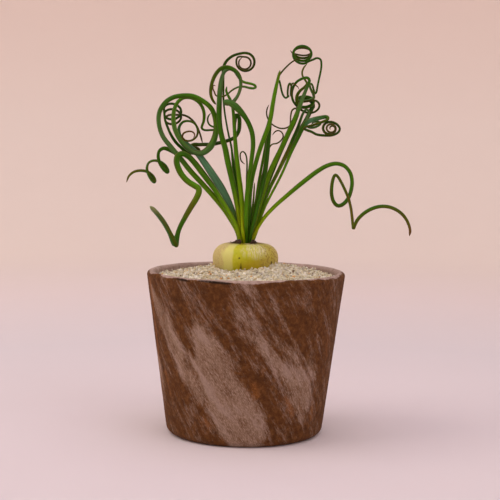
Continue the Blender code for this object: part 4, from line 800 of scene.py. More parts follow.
def smooth_step(value, low, high):
    t = np.clip((value - low) / (high - low), 0, 1)
    return t * t * (3 - 2 * t)


def line_points(outline, step):
    """The corners of an outline with points between them, no further apart than a step."""
    made = [outline[0]]
    for a, b in zip(outline, outline[1:]):
        count = max(1, math.ceil(math.dist(a, b) / step))
        made += [tuple(p + (q - p) * i / count for p, q in zip(a, b)) for i in range(1, count + 1)]
    return made


def smooth_line(points, step):
    """A Catmull-Rom curve through points in a plane, in steps of about a given length."""
    p = np.array(points, float)
    p = np.vstack([2 * p[0] - p[1], p, 2 * p[-1] - p[-2]])
    fine = []
    for a, b, c, d in zip(p, p[1:], p[2:], p[3:]):
        count = max(1, round(np.linalg.norm(c - b) / step))
        for t in np.linspace(0, 1, count, endpoint=False):
            fine.append(0.5 * (2 * b + (c - a) * t + (2 * a - 5 * b + 4 * c - d) * t ** 2
                               + (3 * b - a - 3 * c + d) * t ** 3))
    fine.append(p[-2])
    return fine


def ride(piece, slot, *nodes):
    """Puts a piece on the one body in place of the frame's nodes; its slot is not used."""
    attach(piece, "root")
    if nodes:
        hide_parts(*nodes)


def outer_radius(height):
    return BASE_RADIUS + (RIM_RADIUS - BASE_RADIUS) * height / POT_HEIGHT


def arc(middle, across, up, start, end, steps):
    """Points of an elliptical arc, angles in degrees."""
    angles = [math.radians(start + (end - start) * i / steps) for i in range(steps + 1)]
    return [(middle[0] + across * math.cos(a), middle[1] + up * math.sin(a)) for a in angles]


def pot_outline():
    """Radius and height from the middle of the inside floor, over the lip and down to the foot."""
    lip = WALL / 2
    corner = (outer_radius(FLOOR + FLOOR_ROUNDING) - WALL - FLOOR_ROUNDING, FLOOR + FLOOR_ROUNDING)
    lip_middle = (outer_radius(POT_HEIGHT - lip) - lip, POT_HEIGHT - lip)
    foot_width = outer_radius(FOOT_ROUNDING) - FOOT_RADIUS
    inside = line_points([(0.5, FLOOR), (corner[0], FLOOR)], 8)
    inside += arc(corner, FLOOR_ROUNDING, FLOOR_ROUNDING, -90, 0, 5)[1:]
    lip_arc = arc(lip_middle, lip, lip, 180, 0, 16)
    inside += line_points([inside[-1], lip_arc[0]], 3)[1:]
    foot_arc = arc((FOOT_RADIUS, FOOT_ROUNDING), foot_width, FOOT_ROUNDING, 0, -90, 9)
    wall = line_points([lip_arc[-1], foot_arc[0]], POT_ROW)[1:]
    under = line_points([foot_arc[-1], (0.5, 0)], 8)[1:]
    return inside + lip_arc[1:] + wall + foot_arc[1:] + under


def stroke_cover(around, height, stroke, soft):
    """How far each place lies under a stroke: 1 inside it, falling to 0 over a soft edge."""
    middle = sum(p[0] for p in stroke) / len(stroke)
    girth = 2 * math.pi * RIM_RADIUS
    here = (around - middle + girth / 2) % girth - girth / 2 + middle
    best = np.full(len(around), 1e9)
    for (x0, z0, w0), (x1, z1, w1) in zip(stroke, stroke[1:]):
        dx, dz = x1 - x0, z1 - z0
        t = np.clip(((here - x0) * dx + (height - z0) * dz) / (dx * dx + dz * dz), 0, 1)
        gap = np.hypot(here - x0 - dx * t, height - z0 - dz * t) - (w0 + (w1 - w0) * t)
        best = np.minimum(best, gap)
    return 1 - smooth_step(best, -soft, soft)


def covered(around, height, strokes, soft):
    """How far each place lies under any of the strokes."""
    return np.max([stroke_cover(around, height, stroke, soft) for stroke in strokes], 0)


def back_film():
    """Strokes of film round the sides and back, by a rule: they run down to the right as the front's do."""
    draw = random.Random(BACK_SEED)
    strokes = []
    for i in range(BACK_STROKES):
        around = BACK_FROM + BACK_REACH * (i + draw.uniform(-0.2, 0.2)) / BACK_STROKES
        height = draw.uniform(*BACK_TOPS)
        width = draw.choice(BACK_WIDTHS)
        length = draw.uniform(*BACK_LENGTHS)
        stroke = []
        for k in range(6):
            t = k / 5
            down = length * t
            bend = draw.uniform(-1.5, 1.5)
            half = width * math.sin(math.pi * (0.12 + 0.8 * t)) + 0.6
            stroke.append((around + down / STREAK_SLOPE + bend, height - down, half))
        strokes.append(stroke)
    return strokes


def pot_marks(points):
    """Film, rust, and nicks with painted shadow under the lip, at each point of the pot, with the place along
    its slanting streaks.
    """
    x, y, z = points.T
    around = np.arctan2(x, -y) * RIM_RADIUS
    turn = z / (STREAK_SLOPE * RIM_RADIUS)
    radius = np.hypot(x, y)
    angle = np.arctan2(x, -y) + turn
    streak = np.stack([radius * np.sin(angle), -radius * np.cos(angle), z], 1)
    warp = 2.6 * rough(streak * (1, 1, 0.3), 9, 1) + 1.4 * rough(streak * (1, 1, 0.2), 3, 2)
    drift = 3 * rough(streak * (1, 1, 0.4), 14, 3)
    film = np.zeros(len(points))
    strengths = FILM_STRENGTH + [BACK_STRENGTH] * BACK_STROKES
    for stroke, strength in zip(FILM_STROKES + back_film(), strengths):
        film = np.maximum(film, strength * stroke_cover(around + warp, z + drift, stroke, FILM_SOFT))
    groove = covered(around + 0.5 * warp, z + drift, GROOVES, GROOVE_SOFT)
    rust = covered(around + 0.5 * warp, z + drift, RUST_STROKES, RUST_SOFT)
    nick_and_shade = covered(around, z + 0.15 * drift, NICKS_AND_SHADE, NICK_SOFT)
    return film * (1 - 0.8 * groove), rust, nick_and_shade, streak


def pale_lip(points, radius):
    """How pale each point of the lip is: a band down the outside, partly film and partly painted highlight,
    and the inside above the gravel.
    """
    height = points[:, 2]
    around = np.arctan2(points[:, 0], -points[:, 1]) * RIM_RADIUS
    band = BAND_DEPTH + BAND_CHANGE * rough(np.stack([around, 0 * around, 0 * around], 1), 11, 8)
    band += DIP_DEPTH * np.exp(-((around - DIP_MIDDLE) / DIP_SPREAD) ** 2)
    outside = smooth_step(POT_HEIGHT - height, band + 0.8, band - 0.8)
    inside = radius < outer_radius(height) - WALL * 0.6
    return np.where(inside, 0.9 * smooth_step(height, 80, 92), outside)


def make_clay():
    """Dark fired clay with a thin pinkish film in slanting streaks, rust spots and a paler lip, partly film
    and partly painted highlight.
    """
    material, tree, shader, place = new_material("marbled_clay")
    streak = attribute(tree, "streak", "Vector")
    long_marks = speckle(tree, stretched(tree, streak, 1, 1, 0.16), 0.55, 6, 0.68)
    fine_marks = speckle(tree, stretched(tree, streak, 1, 1, 0.3), 1.9, 5, 0.7)
    cloud = speckle(tree, stretched(tree, streak, 1, 1, 0.3), 0.13, 3, 0.55)
    mottle = speckle(tree, place, 0.32, 8, 0.72)
    grit = speckle(tree, place, 2.6, 4, 0.75)
    clay = ramp(tree, mottle, [(0.34, (62, 36, 15)), (0.5, (86, 52, 23)), (0.66, (112, 72, 38))])
    clay = paint(tree, clay, fade(tree, grit, 0.5, 0.66, 0, 0.26), (134, 94, 62))
    pale = ramp(tree, fine_marks, [(0.34, (112, 87, 68)), (0.5, (138, 113, 95)), (0.66, (168, 144, 128))])
    pale = paint(tree, pale, fade(tree, cloud, 0.5, 0.66, 0, 0.5), (166, 144, 134))
    # The film is thick where its strokes lie, and threads, hairs and pits break it up
    threads = fade(tree, long_marks, 0.34, 0.66, 0, 0.62)
    hairs = fade(tree, fine_marks, 0.36, 0.64, 0, 0.4)
    pits = fade(tree, grit, 0.4, 0.62, 0.2, 0)
    film = calculate(tree, "MULTIPLY_ADD", attribute(tree, "film"), 1.15, -0.92)
    film = plus(tree, film, fade(tree, cloud, 0.36, 0.62, 0, 0.62), plus(tree, threads, hairs, pits))
    stray = fade(tree, long_marks, 0.55, 0.75, 0, 0.18)
    cover = calculate(tree, "MAXIMUM", fade(tree, film, 0.0, 1.3), stray)
    colour = blend(tree, cover, clay, pale)
    rust = times(tree, attribute(tree, "rust"), fade(tree, grit, 0.42, 0.6))
    colour = paint(tree, colour, rust, (158, 100, 52), 0.75)
    # The pale lip is partly a whitish film and partly painted highlight, where the rounded top of the lip
    # catches light from above
    ragged = calculate(tree, "MULTIPLY_ADD", long_marks, 1.2, -0.6)
    lip = fade(tree, plus(tree, attribute(tree, "lip"), ragged), 0.35, 0.75)
    lip_film_and_highlight = ramp(tree, mottle, [(0.3, (134, 112, 102)), (0.5, (162, 140, 132)), (0.7, (184, 163, 155))])
    colour = blend(tree, lip, colour, lip_film_and_highlight)
    # Nicks under the lip, painted dark partly as chips and partly as the shadow under the lip's edge
    nick_and_shade = times(tree, attribute(tree, "nick_and_shade"), fade(tree, fine_marks, 0.3, 0.46))
    colour = paint(tree, colour, nick_and_shade, (30, 18, 10))
    normal = relief(tree, plus(tree, grit, times(tree, fine_marks, 0.8)), 0.4, 0.0005)
    dress(tree, shader, colour, fade(tree, cover, 0, 1, 0.85, 0.95), normal, Specular_IOR_Level=0.12)
    return material


def make_pot():
    """The pot with its slight unevenness: turning lines, film thickness and a worn lip."""
    outline = pot_outline()
    points = np.concatenate([circle(POT_SIDES, radius, height) for radius, height in outline])
    film, rust, nick_and_shade, streak = pot_marks(points)
    radius = np.hypot(points[:, 0], points[:, 1])
    out = points[:, :2] / radius[:, None]
    height = points[:, 2]
    wall = smooth_step(height, 1.5, 7) * (radius > BASE_RADIUS - 3)
    worn = WORN * rough(points, 26, 4, 2) + WORN_FINE * rough(points * (1, 1, 4), 6, 5, 3)
    turning = TURNING_DEPTH * np.sin(height * 2 * math.pi / TURNING_PITCH)
    bump = worn + FILM_THICKNESS * film + turning
    points[:, :2] += out * (np.clip(bump, -MOST_UNEVEN, MOST_UNEVEN) * wall)[:, None]
    near_lip = smooth_step(height, POT_HEIGHT - 2, POT_HEIGHT)
    points[:, 2] -= near_lip * (WORN + WORN * rough(points, 12, 6, 2))
    piece = mesh_piece("pot_clay", points, tube_faces(len(outline), POT_SIDES), make_clay())
    marks = {"film": film, "rust": rust, "nick_and_shade": nick_and_shade, "lip": pale_lip(points, radius)}
    for name, values in marks.items():
        store(piece, name, values)
    store(piece, "streak", streak, "FLOAT_VECTOR")
    ride(piece, "clay", "pot")


def gravel_height(radius):
    """The gravel's surface: a mound towards the bulb."""
    t = np.clip((radius - GRAVEL_INNER) / (GRAVEL_OUTER - GRAVEL_INNER), 0, 1)
    return GRAVEL_EDGE + GRAVEL_RISE * (0.5 + 0.5 * np.cos(math.pi * t))


def heap_height(x, y):
    """How high the gravel is heaped against the bulb at a place."""
    side = np.degrees(np.arctan2(x - BULB_MIDDLE, -y))
    radius = np.hypot(x - BULB_MIDDLE, y)
    total = 0
    for middle, height, spread in HEAPS:
        along = np.radians((side - middle + 180) % 360 - 180) * radius / spread
        away = np.clip(radius - HEAP_RADIUS, 0, None) / HEAP_REACH
        total = total + height * np.exp(-along ** 2 - away ** 2)
    for (across, deep), spread, height in SWELLS:
        total = total + height * np.exp(-((x - across) ** 2 + (y - deep) ** 2) / spread ** 2)
    return total


def make_grit(name, colour):
    """Worn stone of one colour, each grain a little lighter or darker than the next."""
    material, tree, shader, place = new_material(name)
    tone = attribute(tree, "tone")
    grit = speckle(tree, place, 2.4, 3, 0.6)
    dark, pale, spot = [[min(255, c * share) for c in colour] for share in (0.88, 1.03, 0.78)]
    shade = blend(tree, tone, linear(dark), linear(pale))
    shade = paint(tree, shade, fade(tree, grit, 0.52, 0.72, 0, 0.4), spot)
    normal = relief(tree, grit, 0.3, 0.0002)
    dress(tree, shader, shade, fade(tree, tone, 0, 1, 0.62, 0.85), normal, Subsurface_Weight=0.3,
          Subsurface_Scale=0.0015, Subsurface_Radius=(1.0, 0.95, 0.8), Specular_IOR_Level=0.3)
    return material


def make_bed():
    """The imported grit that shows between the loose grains."""
    radii = np.linspace(GRAVEL_INNER, GRAVEL_OUTER, BED_RINGS)
    outline = [(GRAVEL_INNER, BED_LOW)] + [(r, gravel_height(r) - BED_BELOW) for r in radii]
    outline.append((GRAVEL_OUTER - 0.2, BED_LOW))
    rows = []
    for radius, height in outline[::-1]:
        share = max(0.0, (GRAVEL_OUTER - radius) / (GRAVEL_OUTER - GRAVEL_INNER))
        rows.append(circle(BED_SIDES, radius, height, BULB_MIDDLE * share))
    points = np.concatenate(rows)
    top = points[:, 2] > BED_LOW + 0.5
    points[:, 2] += (0.35 * rough(points, 1.6, 12, 2) + heap_height(points[:, 0], points[:, 1])) * top
    faces = tube_faces(len(outline), BED_SIDES, closed=True)
    piece = mesh_piece("gravel_bed", points, faces, make_grit("bed_grit", BED_COLOUR))
    store(piece, "tone", 0.5 + 0.5 * rough(points, 1.2, 13, 2))
    ride(piece, "gravel", "gravel_topping")


def random_way(draw):
    return Vector((draw.gauss(0, 1), draw.gauss(0, 1), draw.gauss(0, 1))).normalized()


def random_turn(draw):
    axis = random_way(draw)
    return np.array(Matrix.Rotation(draw.uniform(0, 2 * math.pi), 3, axis))


def grain_shape(draw):
    """Points and faces of one angular grain about 1 mm across: the hull of a few random points."""
    form = bmesh.new()
    for _ in range(GRAIN_CORNERS):
        way = random_way(draw)
        form.verts.new(way * draw.uniform(*CORNER_REACH))
    hull = bmesh.ops.convex_hull(form, input=form.verts)
    bmesh.ops.delete(form, geom=list(set(hull["geom_interior"] + hull["geom_unused"])), context="VERTS")
    form.verts.index_update()
    points = np.array([v.co for v in form.verts])
    faces = [[v.index for v in face.verts] for face in form.faces]
    form.free()
    return points, faces


def grain_places(draw):
    """Where the grains lie: rows over the whole bed, shaken, then some loose ones on top."""
    places = []
    count = int(GRAVEL_OUTER / GRAIN_SPACING) + 1
    for row in range(-count, count + 1):
        for column in range(-count, count + 1):
            x = (column + 0.5 * (row % 2) + draw.uniform(-GRAIN_SHAKE, GRAIN_SHAKE)) * GRAIN_SPACING
            y = (row * 0.866 + draw.uniform(-GRAIN_SHAKE, GRAIN_SHAKE)) * GRAIN_SPACING
            size = draw.uniform(*GRAIN_SIZES)
            from_bulb = math.hypot(x - BULB_MIDDLE, y)
            if from_bulb < GRAVEL_INNER + 0.1 * size or math.hypot(x, y) > GRAVEL_OUTER - 0.3 * size:
                continue
            ground = gravel_height(from_bulb) + heap_height(x, y)
            places.append((x, y, ground - GRAIN_SINK * size + draw.uniform(*GRAIN_JOLT), size))
            if draw.random() < LOOSE_SHARE:
                lift = draw.uniform(*LOOSE_LIFTS)
                across, deep = LOOSE_ASIDE
                places.append((x + across, y + deep, ground + lift, draw.uniform(*LOOSE_SIZES)))
    return places


def make_grains():
    """Every loose grain, fused in one mesh for each colour of stone."""
    draw = random.Random(GRAVEL_SEED)
    shapes = [grain_shape(draw) for _ in range(GRAIN_SHAPES)]
    names = list(GRAVEL_COLOURS)
    shares = [share for _, share in GRAVEL_COLOURS.values()]
    heaps = {name: ([], [], []) for name in names}
    for x, y, z, size in grain_places(draw):
        name = draw.choices(names, shares)[0]
        points, faces, tones = heaps[name]
        shape, shape_faces = draw.choice(shapes)
        stretch = np.array([draw.uniform(*reach) for reach in GRAIN_STRETCH])
        base = len(points)
        points.extend((shape * stretch * size) @ random_turn(draw).T + (x, y, z))
        faces.extend([[base + i for i in face] for face in shape_faces])
        tones.extend([draw.random()] * len(shape))
    for name in names:
        points, faces, tones = heaps[name]
        material = make_grit("grit_" + name, GRAVEL_COLOURS[name][0])
        piece = mesh_piece("gravel_" + name, points, faces, material, smooth=False)
        store(piece, "tone", tones)
        ride(piece, "gravel")


def dress_soil():
    """Dark crumbly potting soil."""
    material, tree, shader, place = new_material("potting_soil")
    crumb = speckle(tree, place, 0.9, 8, 0.75)
    fibre = speckle(tree, place, 3.5, 3, 0.6)
    colour = ramp(tree, crumb, [(0.3, (34, 24, 18)), (0.55, (58, 44, 33)), (0.75, (92, 72, 52))])
    normal = relief(tree, plus(tree, crumb, fibre), 0.8, 0.001)
    dress(tree, shader, colour, 0.95, normal)
    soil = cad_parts["potting_soil"]
    soil.data.materials.clear()
    soil.data.materials.append(material)


def lump(angle, height):
    """How far the bulb's flesh swells or sinks from a true round, only above the gravel."""
    above = np.clip((height - 101) / 4, 0, 1)
    return 1 + BULB_LUMPS * above * (np.sin(2 * angle + 0.6) + 0.7 * np.sin(3 * angle + 2))


def patch(side, height, middle, half, soft):
    """A patch on the bulb: side is degrees from the front, to the right."""
    away = np.hypot((side - middle[0]) / half[0], (height - middle[1]) / half[1])
    return 1 - smooth_step(away, 1 - soft, 1 + soft)


def bulb_marks(points):
    """The bulb's skins, from place: tan and white papery skin, ochre flush and worn, blotted skin."""
    side = np.degrees(np.arctan2(points[:, 0] - BULB_MIDDLE, -points[:, 1]))
    height = points[:, 2]
    wave = rough(points * (1, 1, 0.5), 4, 21, 3)
    fine = rough(points * (1, 1, 0.25), 1.6, 22, 3)
    ragged = side + 6 * wave + 4 * fine
    behind = smooth_step(np.abs(side), *TAN_BEHIND) * (0.5 + 0.5 * wave)
    right = smooth_step(ragged, *TAN_RIGHT) * 0.75
    mark = [patch(side + 1.5 * fine, height, middle, half, 0.4) for middle, half in DARK_MARKS]
    reach = np.hypot(points[:, 0] - BULB_MIDDLE, points[:, 1])
    return {
        "tan": np.max([smooth_step(ragged, *TAN_LEFT), right, behind], 0),
        "seam": smooth_step(side + 1.5 * wave + fine, *SEAM_EDGE),
        "white": patch(ragged, height + 0.8 * wave, *WHITE_SKIN, 0.5),
        "ochre": patch(ragged, height + wave, *OCHRE_FLUSH, 0.5),
        "worn": patch(ragged, height, *WORN_SKIN, 0.4),
        "mark": np.max(mark, 0),
        "crown": smooth_step(reach + 1.6 * wave, *CROWN_EDGE),
        "foot": smooth_step(height, *FOOT_EDGE),
    }


def make_flesh():
    """Yellow-green bulb flesh under papery skins, with fine upright veins and brown specks."""
    material, tree, shader, place = new_material("bulb_flesh")
    grain = stretched(tree, attribute(tree, "grain", "Vector"), 1, 1, 0.14)
    vein = speckle(tree, grain, 1.5, 5, 0.65)
    threads = speckle(tree, grain, 1.5, 2, 0.5)
    fibre = speckle(tree, grain, 5.0, 3, 0.6)
    mottle = speckle(tree, place, 0.35, 6, 0.65)
    spots = speckle(tree, place, 1.5, 3, 0.6)
    blots = speckle(tree, place, 0.75, 4, 0.7)
    worn = attribute(tree, "worn")
    white = attribute(tree, "white")
    colour = ramp(tree, mottle, [(0.3, (172, 178, 14)), (0.5, (186, 188, 30)), (0.7, (200, 198, 60))])
    colour = paint(tree, colour, attribute(tree, "seam"), (212, 210, 122))
    colour = paint(tree, colour, attribute(tree, "ochre"), (162, 142, 8), 0.8)
    colour = paint(tree, colour, worn, (178, 162, 76), 0.75)
    tan = times(tree, attribute(tree, "tan"), fade(tree, vein, 0.2, 0.5, 0.7, 1))
    tan_colour = ramp(tree, spots, [(0.36, (180, 154, 92)), (0.5, (200, 186, 120)), (0.62, (214, 206, 146))])
    colour = blend(tree, tan, colour, tan_colour)
    paper = times(tree, white, fade(tree, threads, 0.36, 0.62, 0.1, 1))
    colour = paint(tree, colour, paper, (214, 208, 176), 0.85)
    # Brown specks lie on dry skin more than on bare flesh
    dry = calculate(tree, "MAXIMUM", calculate(tree, "MAXIMUM", tan, white), worn)
    spotted = calculate(tree, "MULTIPLY_ADD", dry, 0.75, 0.1)
    colour = paint(tree, colour, times(tree, fade(tree, spots, 0.57, 0.68), spotted), (128, 88, 38))
    colour = paint(tree, colour, times(tree, fade(tree, blots, 0.5, 0.6), worn), (122, 94, 42), 0.75)
    colour = paint(tree, colour, attribute(tree, "foot"), (130, 100, 40), 0.6)
    crown = times(tree, attribute(tree, "crown"), fade(tree, spots, 0.36, 0.6, 0.9, 0.3))
    colour = paint(tree, colour, crown, (92, 64, 30))
    colour = paint(tree, colour, attribute(tree, "mark"), (48, 34, 12), 0.85)
    normal = relief(tree, plus(tree, vein, times(tree, fibre, 0.4)), 0.4, 0.0005)
    dull = calculate(tree, "MULTIPLY_ADD", dry, 0.25, 0.42)
    dress(tree, shader, colour, dull, normal, Subsurface_Weight=0.2, Subsurface_Scale=0.002,
          Subsurface_Radius=(1.0, 0.8, 0.3), Specular_IOR_Level=0.25)
    return material


def make_bulb():
    """The bulb with its veins and the raised edges of its papery skins."""
    angles = full_turn(BULB_SIDES)
    rows = []
    for radius, height in smooth_line(BULB_OUTLINE, BULB_STEP):
        rows.append(circle(BULB_SIDES, radius * lump(angles, height), height, BULB_MIDDLE))
    for height, share in ((NECK_TOP, 1.0), (PIT_FLOOR, 0.97)):
        rows.append(circle(BULB_SIDES, (PIT_ACROSS * share, PIT_DEEP * share), height, BULB_MIDDLE))
    points = np.concatenate(rows)
    marks = bulb_marks(points)
    reach = np.hypot(points[:, 0] - BULB_MIDDLE, points[:, 1])
    upright = (points[:, :2] - (BULB_MIDDLE, 0)) / reach[:, None] * BULB_OUTLINE[5][0]
    out = points - (BULB_MIDDLE, 0, 104)
    out /= np.linalg.norm(out, axis=1)[:, None]
    free = smooth_step(points[:, 2], 97, 99) * smooth_step(np.hypot(points[:, 0], points[:, 1]), 8, 10)
    vein = rough(points * (1, 1, 0.12), 1.3, 23, 3)
    skin = sum(raised * marks[name] for name, raised in SKINS_RAISED.items())
    ridges = VEINS_RAISED * vein * (0.4 + marks["tan"] + marks["white"])
    points += out * (free * (skin + ridges - FLESH_SUNK))[:, None]
    piece = mesh_piece("bulb_flesh", points, tube_faces(len(rows), BULB_SIDES), make_flesh())
    for name, values in marks.items():
        store(piece, name, values)
    store(piece, "grain", np.column_stack([upright, points[:, 2] - reach]), "FLOAT_VECTOR")
    ride(piece, "bulb_flesh", "bulb")


def leaf_section():
    """A leaf cut across: a round back and a shallow channel along its upper side."""
    points = []
    for j in range(LEAF_SIDES):
        a = 2 * math.pi * j / LEAF_SIDES
        across, thick = math.cos(a), math.sin(a)
        if thick > 0:
            thick *= LEAF_TOP - CHANNEL_DEPTH * math.exp(-(across / CHANNEL_WIDTH) ** 2)
        points.append((across, thick))
    return np.array(points)


def turned_frames(path, first):
    """Two directions across the path at each point, carried along it without twist."""
    along = np.gradient(path, axis=0)
    along /= np.linalg.norm(along, axis=1)[:, None]
    up = np.array(first, float)
    ups = []
    for way in along:
        up = up - way * (up @ way)
        up /= np.linalg.norm(up)
        ups.append(up)
    ups = np.array(ups)
    return np.cross(along, ups), ups


def make_leaf_skin(name, tints):
    """Juicy green skin: colours along the leaf with painted sheen on some bends, fine lengthwise streaks and
    dull margins.
    """
    material, tree, shader, _ = new_material("skin_" + name)
    grain = attribute(tree, "grain", "Vector")
    streaks = speckle(tree, stretched(tree, grain, 1.6, 1.6, 0.06), 1.0, 4, 0.65)
    blotch = speckle(tree, stretched(tree, grain, 0.3, 0.3, 0.12), 1.0, 3, 0.55)
    run = plus(tree, attribute(tree, "run"), calculate(tree, "MULTIPLY_ADD", blotch, 0.1, -0.05))
    # Painted sheen: the sage, glaucous and grey stops of this ramp stand partly for light reflected off the
    # leaf's bends
    colour = ramp(tree, run, [(position, GREENS[tint]) for position, tint in tints])
    light = fade(tree, streaks, 0.3, 0.7, 0.74, 1.26)
    shade = add(tree, "CombineColor", {0: light, 1: light, 2: light}).outputs[0]
    colour = blend(tree, 1.0, colour, shade, "MULTIPLY")
    colour = paint(tree, colour, attribute(tree, "margin"), GREENS["edge"], 0.5)
    normal = relief(tree, streaks, 0.2, 0.0003)
    dress(tree, shader, colour, fade(tree, streaks, 0.3, 0.7, 0.4, 0.55), normal, Subsurface_Weight=0.08,
          Subsurface_Scale=0.001, Specular_IOR_Level=0.12)
    return material


def leaf_points(path, radii):
    """A leaf's skin in rings round its middle line, closing to a point at the tip."""
    middle = np.array([seen(point) for point in path])
    radii = radii * (1 + path[:, 2] / -VIEW_POINT[1])
    radii[-TIP_STEPS:] *= np.sqrt(np.linspace(*TIP_CLOSING, TIP_STEPS))
    inwards = (0.0, 1.0, 0.0) if middle[0, 1] < 0 else (0.0, -1.0, 0.0)
    sides, ups = turned_frames(middle, inwards)
    section = leaf_section()
    spread = 1 + (NECK_SPREAD - 1) * smooth_step(middle[:, 2], *SPREAD_FROM)
    rings = []
    for centre, side, up, radius, wide in zip(middle, sides, ups, radii, spread):
        offset = radius * (section[:, :1] * side + section[:, 1:] * up)
        offset[:, 0] *= wide
        rings.append(centre + offset)
    points = np.concatenate(rings)
    aside = points[:, 0] - NECK_MIDDLE
    squeeze = smooth_step(points[:, 2], *SQUEEZE_FROM) * smooth_step(np.abs(aside), *SQUEEZE_ASIDE)
    points[:, 0] -= NECK_SQUEEZE * aside * squeeze
    return points


def make_leaf(name, path, radii):
    count = len(path)
    faces = tube_faces(count, LEAF_SIDES)
    material = make_leaf_skin(name, LEAF_TINTS[name])
    piece = mesh_piece("leafskin_" + name, leaf_points(path, radii), faces, material)
    across, thick = np.tile(leaf_section(), (count, 1)).T
    place = np.repeat(np.arange(count), LEAF_SIDES)
    store(piece, "run", place / (count - 1))
    store(piece, "margin", np.clip(np.abs(across) * 5 - 4, 0, 1))
    store(piece, "grain", np.stack([across, thick, place * SAMPLE], 1), "FLOAT_VECTOR")
    kind = next((slot for slot, names in LEAF_SLOTS.items() if name in names), "leaf_green")
    ride(piece, kind, "leaf_" + name)


def make_leaves():
    """Every leaf, after those that would touch have leaned apart."""
    paths, radii = {}, {}
    for name, leaf in LEAVES.items():
        paths[name], radii[name] = leaf_path(leaf)
    settle(paths, radii)
    for name in LEAVES:
        make_leaf(name, paths[name], radii[name])


def make_dry_skin():
    """Old leaf base: dark brown, dry and fibrous."""
    material, tree, shader, place = new_material("dried_leaf")
    fibre = speckle(tree, stretched(tree, place, 1, 1, 2.5), 1.6, 5, 0.7)
    colour = ramp(tree, fibre, [(0.3, (26, 16, 9)), (0.52, (52, 34, 20)), (0.7, (96, 70, 42))])
    dress(tree, shader, colour, 0.85, relief(tree, fibre, 0.6, 0.0004))
    return material


def make_scrap(name, start, end, lean, material):
    """A curled, ragged scrap of old leaf base on the bulb's shoulder."""
    points = []
    for i in range(SCRAP_STEPS + 1):
        t = i / SCRAP_STEPS
        angle = math.radians(start + (end - start) * t)
        full = 0.2 + 1.1 * math.sin(math.pi * (0.04 + 0.9 * t ** lean)) ** 1.5
        ragged = 1 + 0.35 * math.sin(9.3 * t * math.pi + start) + 0.2 * math.sin(23 * t)
        for k in range(SCRAP_SIDES):
            turn = 2 * math.pi * k / SCRAP_SIDES
            radius = DRIED_RADIUS - 0.9 * full + DRIED_THICKNESS * math.cos(turn) * full
            rise = DRIED_HEIGHT * full * ragged * (0.5 + 0.5 * math.sin(turn))
            height = DRIED_FOOT - 0.1 + min(rise, DRIED_HEIGHT * 1.4)
            points.append((BULB_MIDDLE + radius * math.cos(angle), radius * math.sin(angle), height))
    return mesh_piece(name + "_scrap", points, tube_faces(SCRAP_STEPS + 1, SCRAP_SIDES), material)


def make_knot(material):
    """The dark shrivelled stump of an old leaf, beside the neck."""
    rings = []
    for i in range(1, KNOT_ROWS):
        slope = math.pi * (i / KNOT_ROWS - 0.5)
        rings.append(circle(KNOT_SIDES, math.cos(slope), math.sin(slope)))
    points = np.concatenate(rings)
    points *= (1 + 0.22 * rough(points, 0.9, 31, 2))[:, None] * KNOT_SIZE
    return mesh_piece("dried_knot", points + KNOT_PLACE, tube_faces(len(rings), KNOT_SIDES), material)


def make_dried():
    material = make_dry_skin()
    for name, start, end, lean in DRIED_SCRAPS:
        ride(make_scrap(name, start, end, lean, material), "dried_leaf", name)
    ride(make_knot(material), "dried_leaf")


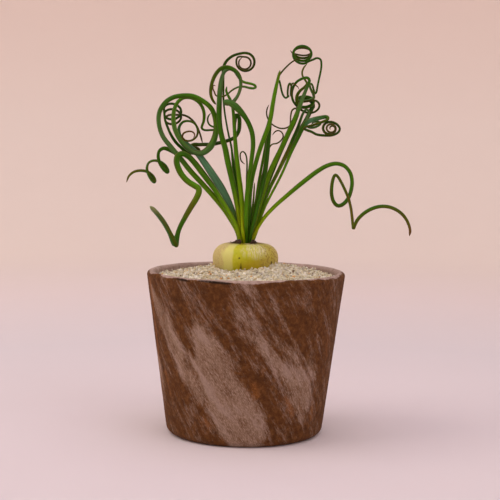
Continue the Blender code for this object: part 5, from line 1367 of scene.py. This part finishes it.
def make_studio():
    """A pale pink floor that sweeps up into a round wall."""
    outline = [(FLOOR_RADIUS * i / FLOOR_RINGS + 0.001, 0.0) for i in range(FLOOR_RINGS + 1)]
    for i in range(1, SWEEP_RINGS + 1):
        a = math.pi / 2 * i / SWEEP_RINGS
        outline.append((FLOOR_RADIUS + SWEEP_RADIUS * math.sin(a), SWEEP_RADIUS * (1 - math.cos(a))))
    outline.append((FLOOR_RADIUS + SWEEP_RADIUS, WALL_TOP))
    points = np.concatenate([circle(STUDIO_SIDES, radius, height) for radius, height in outline])
    faces = [face for face in tube_faces(len(outline), STUDIO_SIDES) if len(face) == 4]
    faces.append(tuple(reversed(range(STUDIO_SIDES))))
    material, tree, shader, place = new_material("studio_paper")
    away = add(tree, "VectorMath", {0: place}, operation="LENGTH").outputs["Value"]
    share = times(tree, away, MM / PAPER_REACH)
    # Painted light: the paper is coloured lighter close to the pot, to offset the shade the pot casts round
    # its foot
    colour = ramp(tree, share, [(reach / PAPER_REACH, tint) for reach, tint in PAPER_AND_PAINTED_LIGHT])
    colour = paint(tree, colour, speckle(tree, place, 0.02, 4, 0.5), PAPER_FIBRE, 0.06)
    dress(tree, shader, colour, 0.9, Specular_IOR_Level=0.15)
    mesh_piece("studio_floor", points / MM, faces, material)


def area_light(name, place, size, power, colour):
    """A soft square light that faces the pot."""
    light = bpy.data.lights.new(name, "AREA")
    light.size = size
    light.energy = power
    light.color = linear(colour)[:3]
    lamp = bpy.data.objects.new(name, light)
    lamp.location = place
    lamp.rotation_euler = (Vector(LIGHT_AIM) - Vector(place)).to_track_quat("-Z", "Y").to_euler()
    lamp.visible_camera = False
    bpy.context.scene.collection.objects.link(lamp)


def light_studio():
    world = bpy.data.worlds.new("soft_sky")
    world.use_nodes = True
    sky = world.node_tree.nodes["Background"]
    sky.inputs["Color"].default_value = linear(SKY)
    sky.inputs["Strength"].default_value = SKY_STRENGTH
    scene = bpy.context.scene
    scene.world = world
    scene.view_settings.view_transform = "Standard"
    for name, place, size, power, colour in LIGHTS:
        area_light(name, place, size, power, colour)


def make_camera():
    camera = bpy.data.objects.new("camera", bpy.data.cameras.new("camera"))
    camera.data.lens = LENS
    camera.data.sensor_width = SENSOR
    camera.data.clip_start = 0.01
    turn = Matrix.Rotation(math.radians(90) - LOOKS_DOWN, 4, "X") @ Matrix.Rotation(ROLL, 4, "Z")
    camera.matrix_world = Matrix.Translation(EYE) @ turn
    bpy.context.scene.collection.objects.link(camera)
    bpy.context.scene.camera = camera


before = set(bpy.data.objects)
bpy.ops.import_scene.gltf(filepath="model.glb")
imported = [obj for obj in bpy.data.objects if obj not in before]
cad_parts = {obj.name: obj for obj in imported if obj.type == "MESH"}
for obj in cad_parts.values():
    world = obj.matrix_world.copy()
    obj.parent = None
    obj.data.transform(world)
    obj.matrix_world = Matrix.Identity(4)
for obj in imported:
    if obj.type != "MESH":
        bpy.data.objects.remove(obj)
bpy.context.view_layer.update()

make_camera()
make_studio()
light_studio()
make_pot()
make_bed()
make_grains()
dress_soil()
make_bulb()
make_leaves()
make_dried()
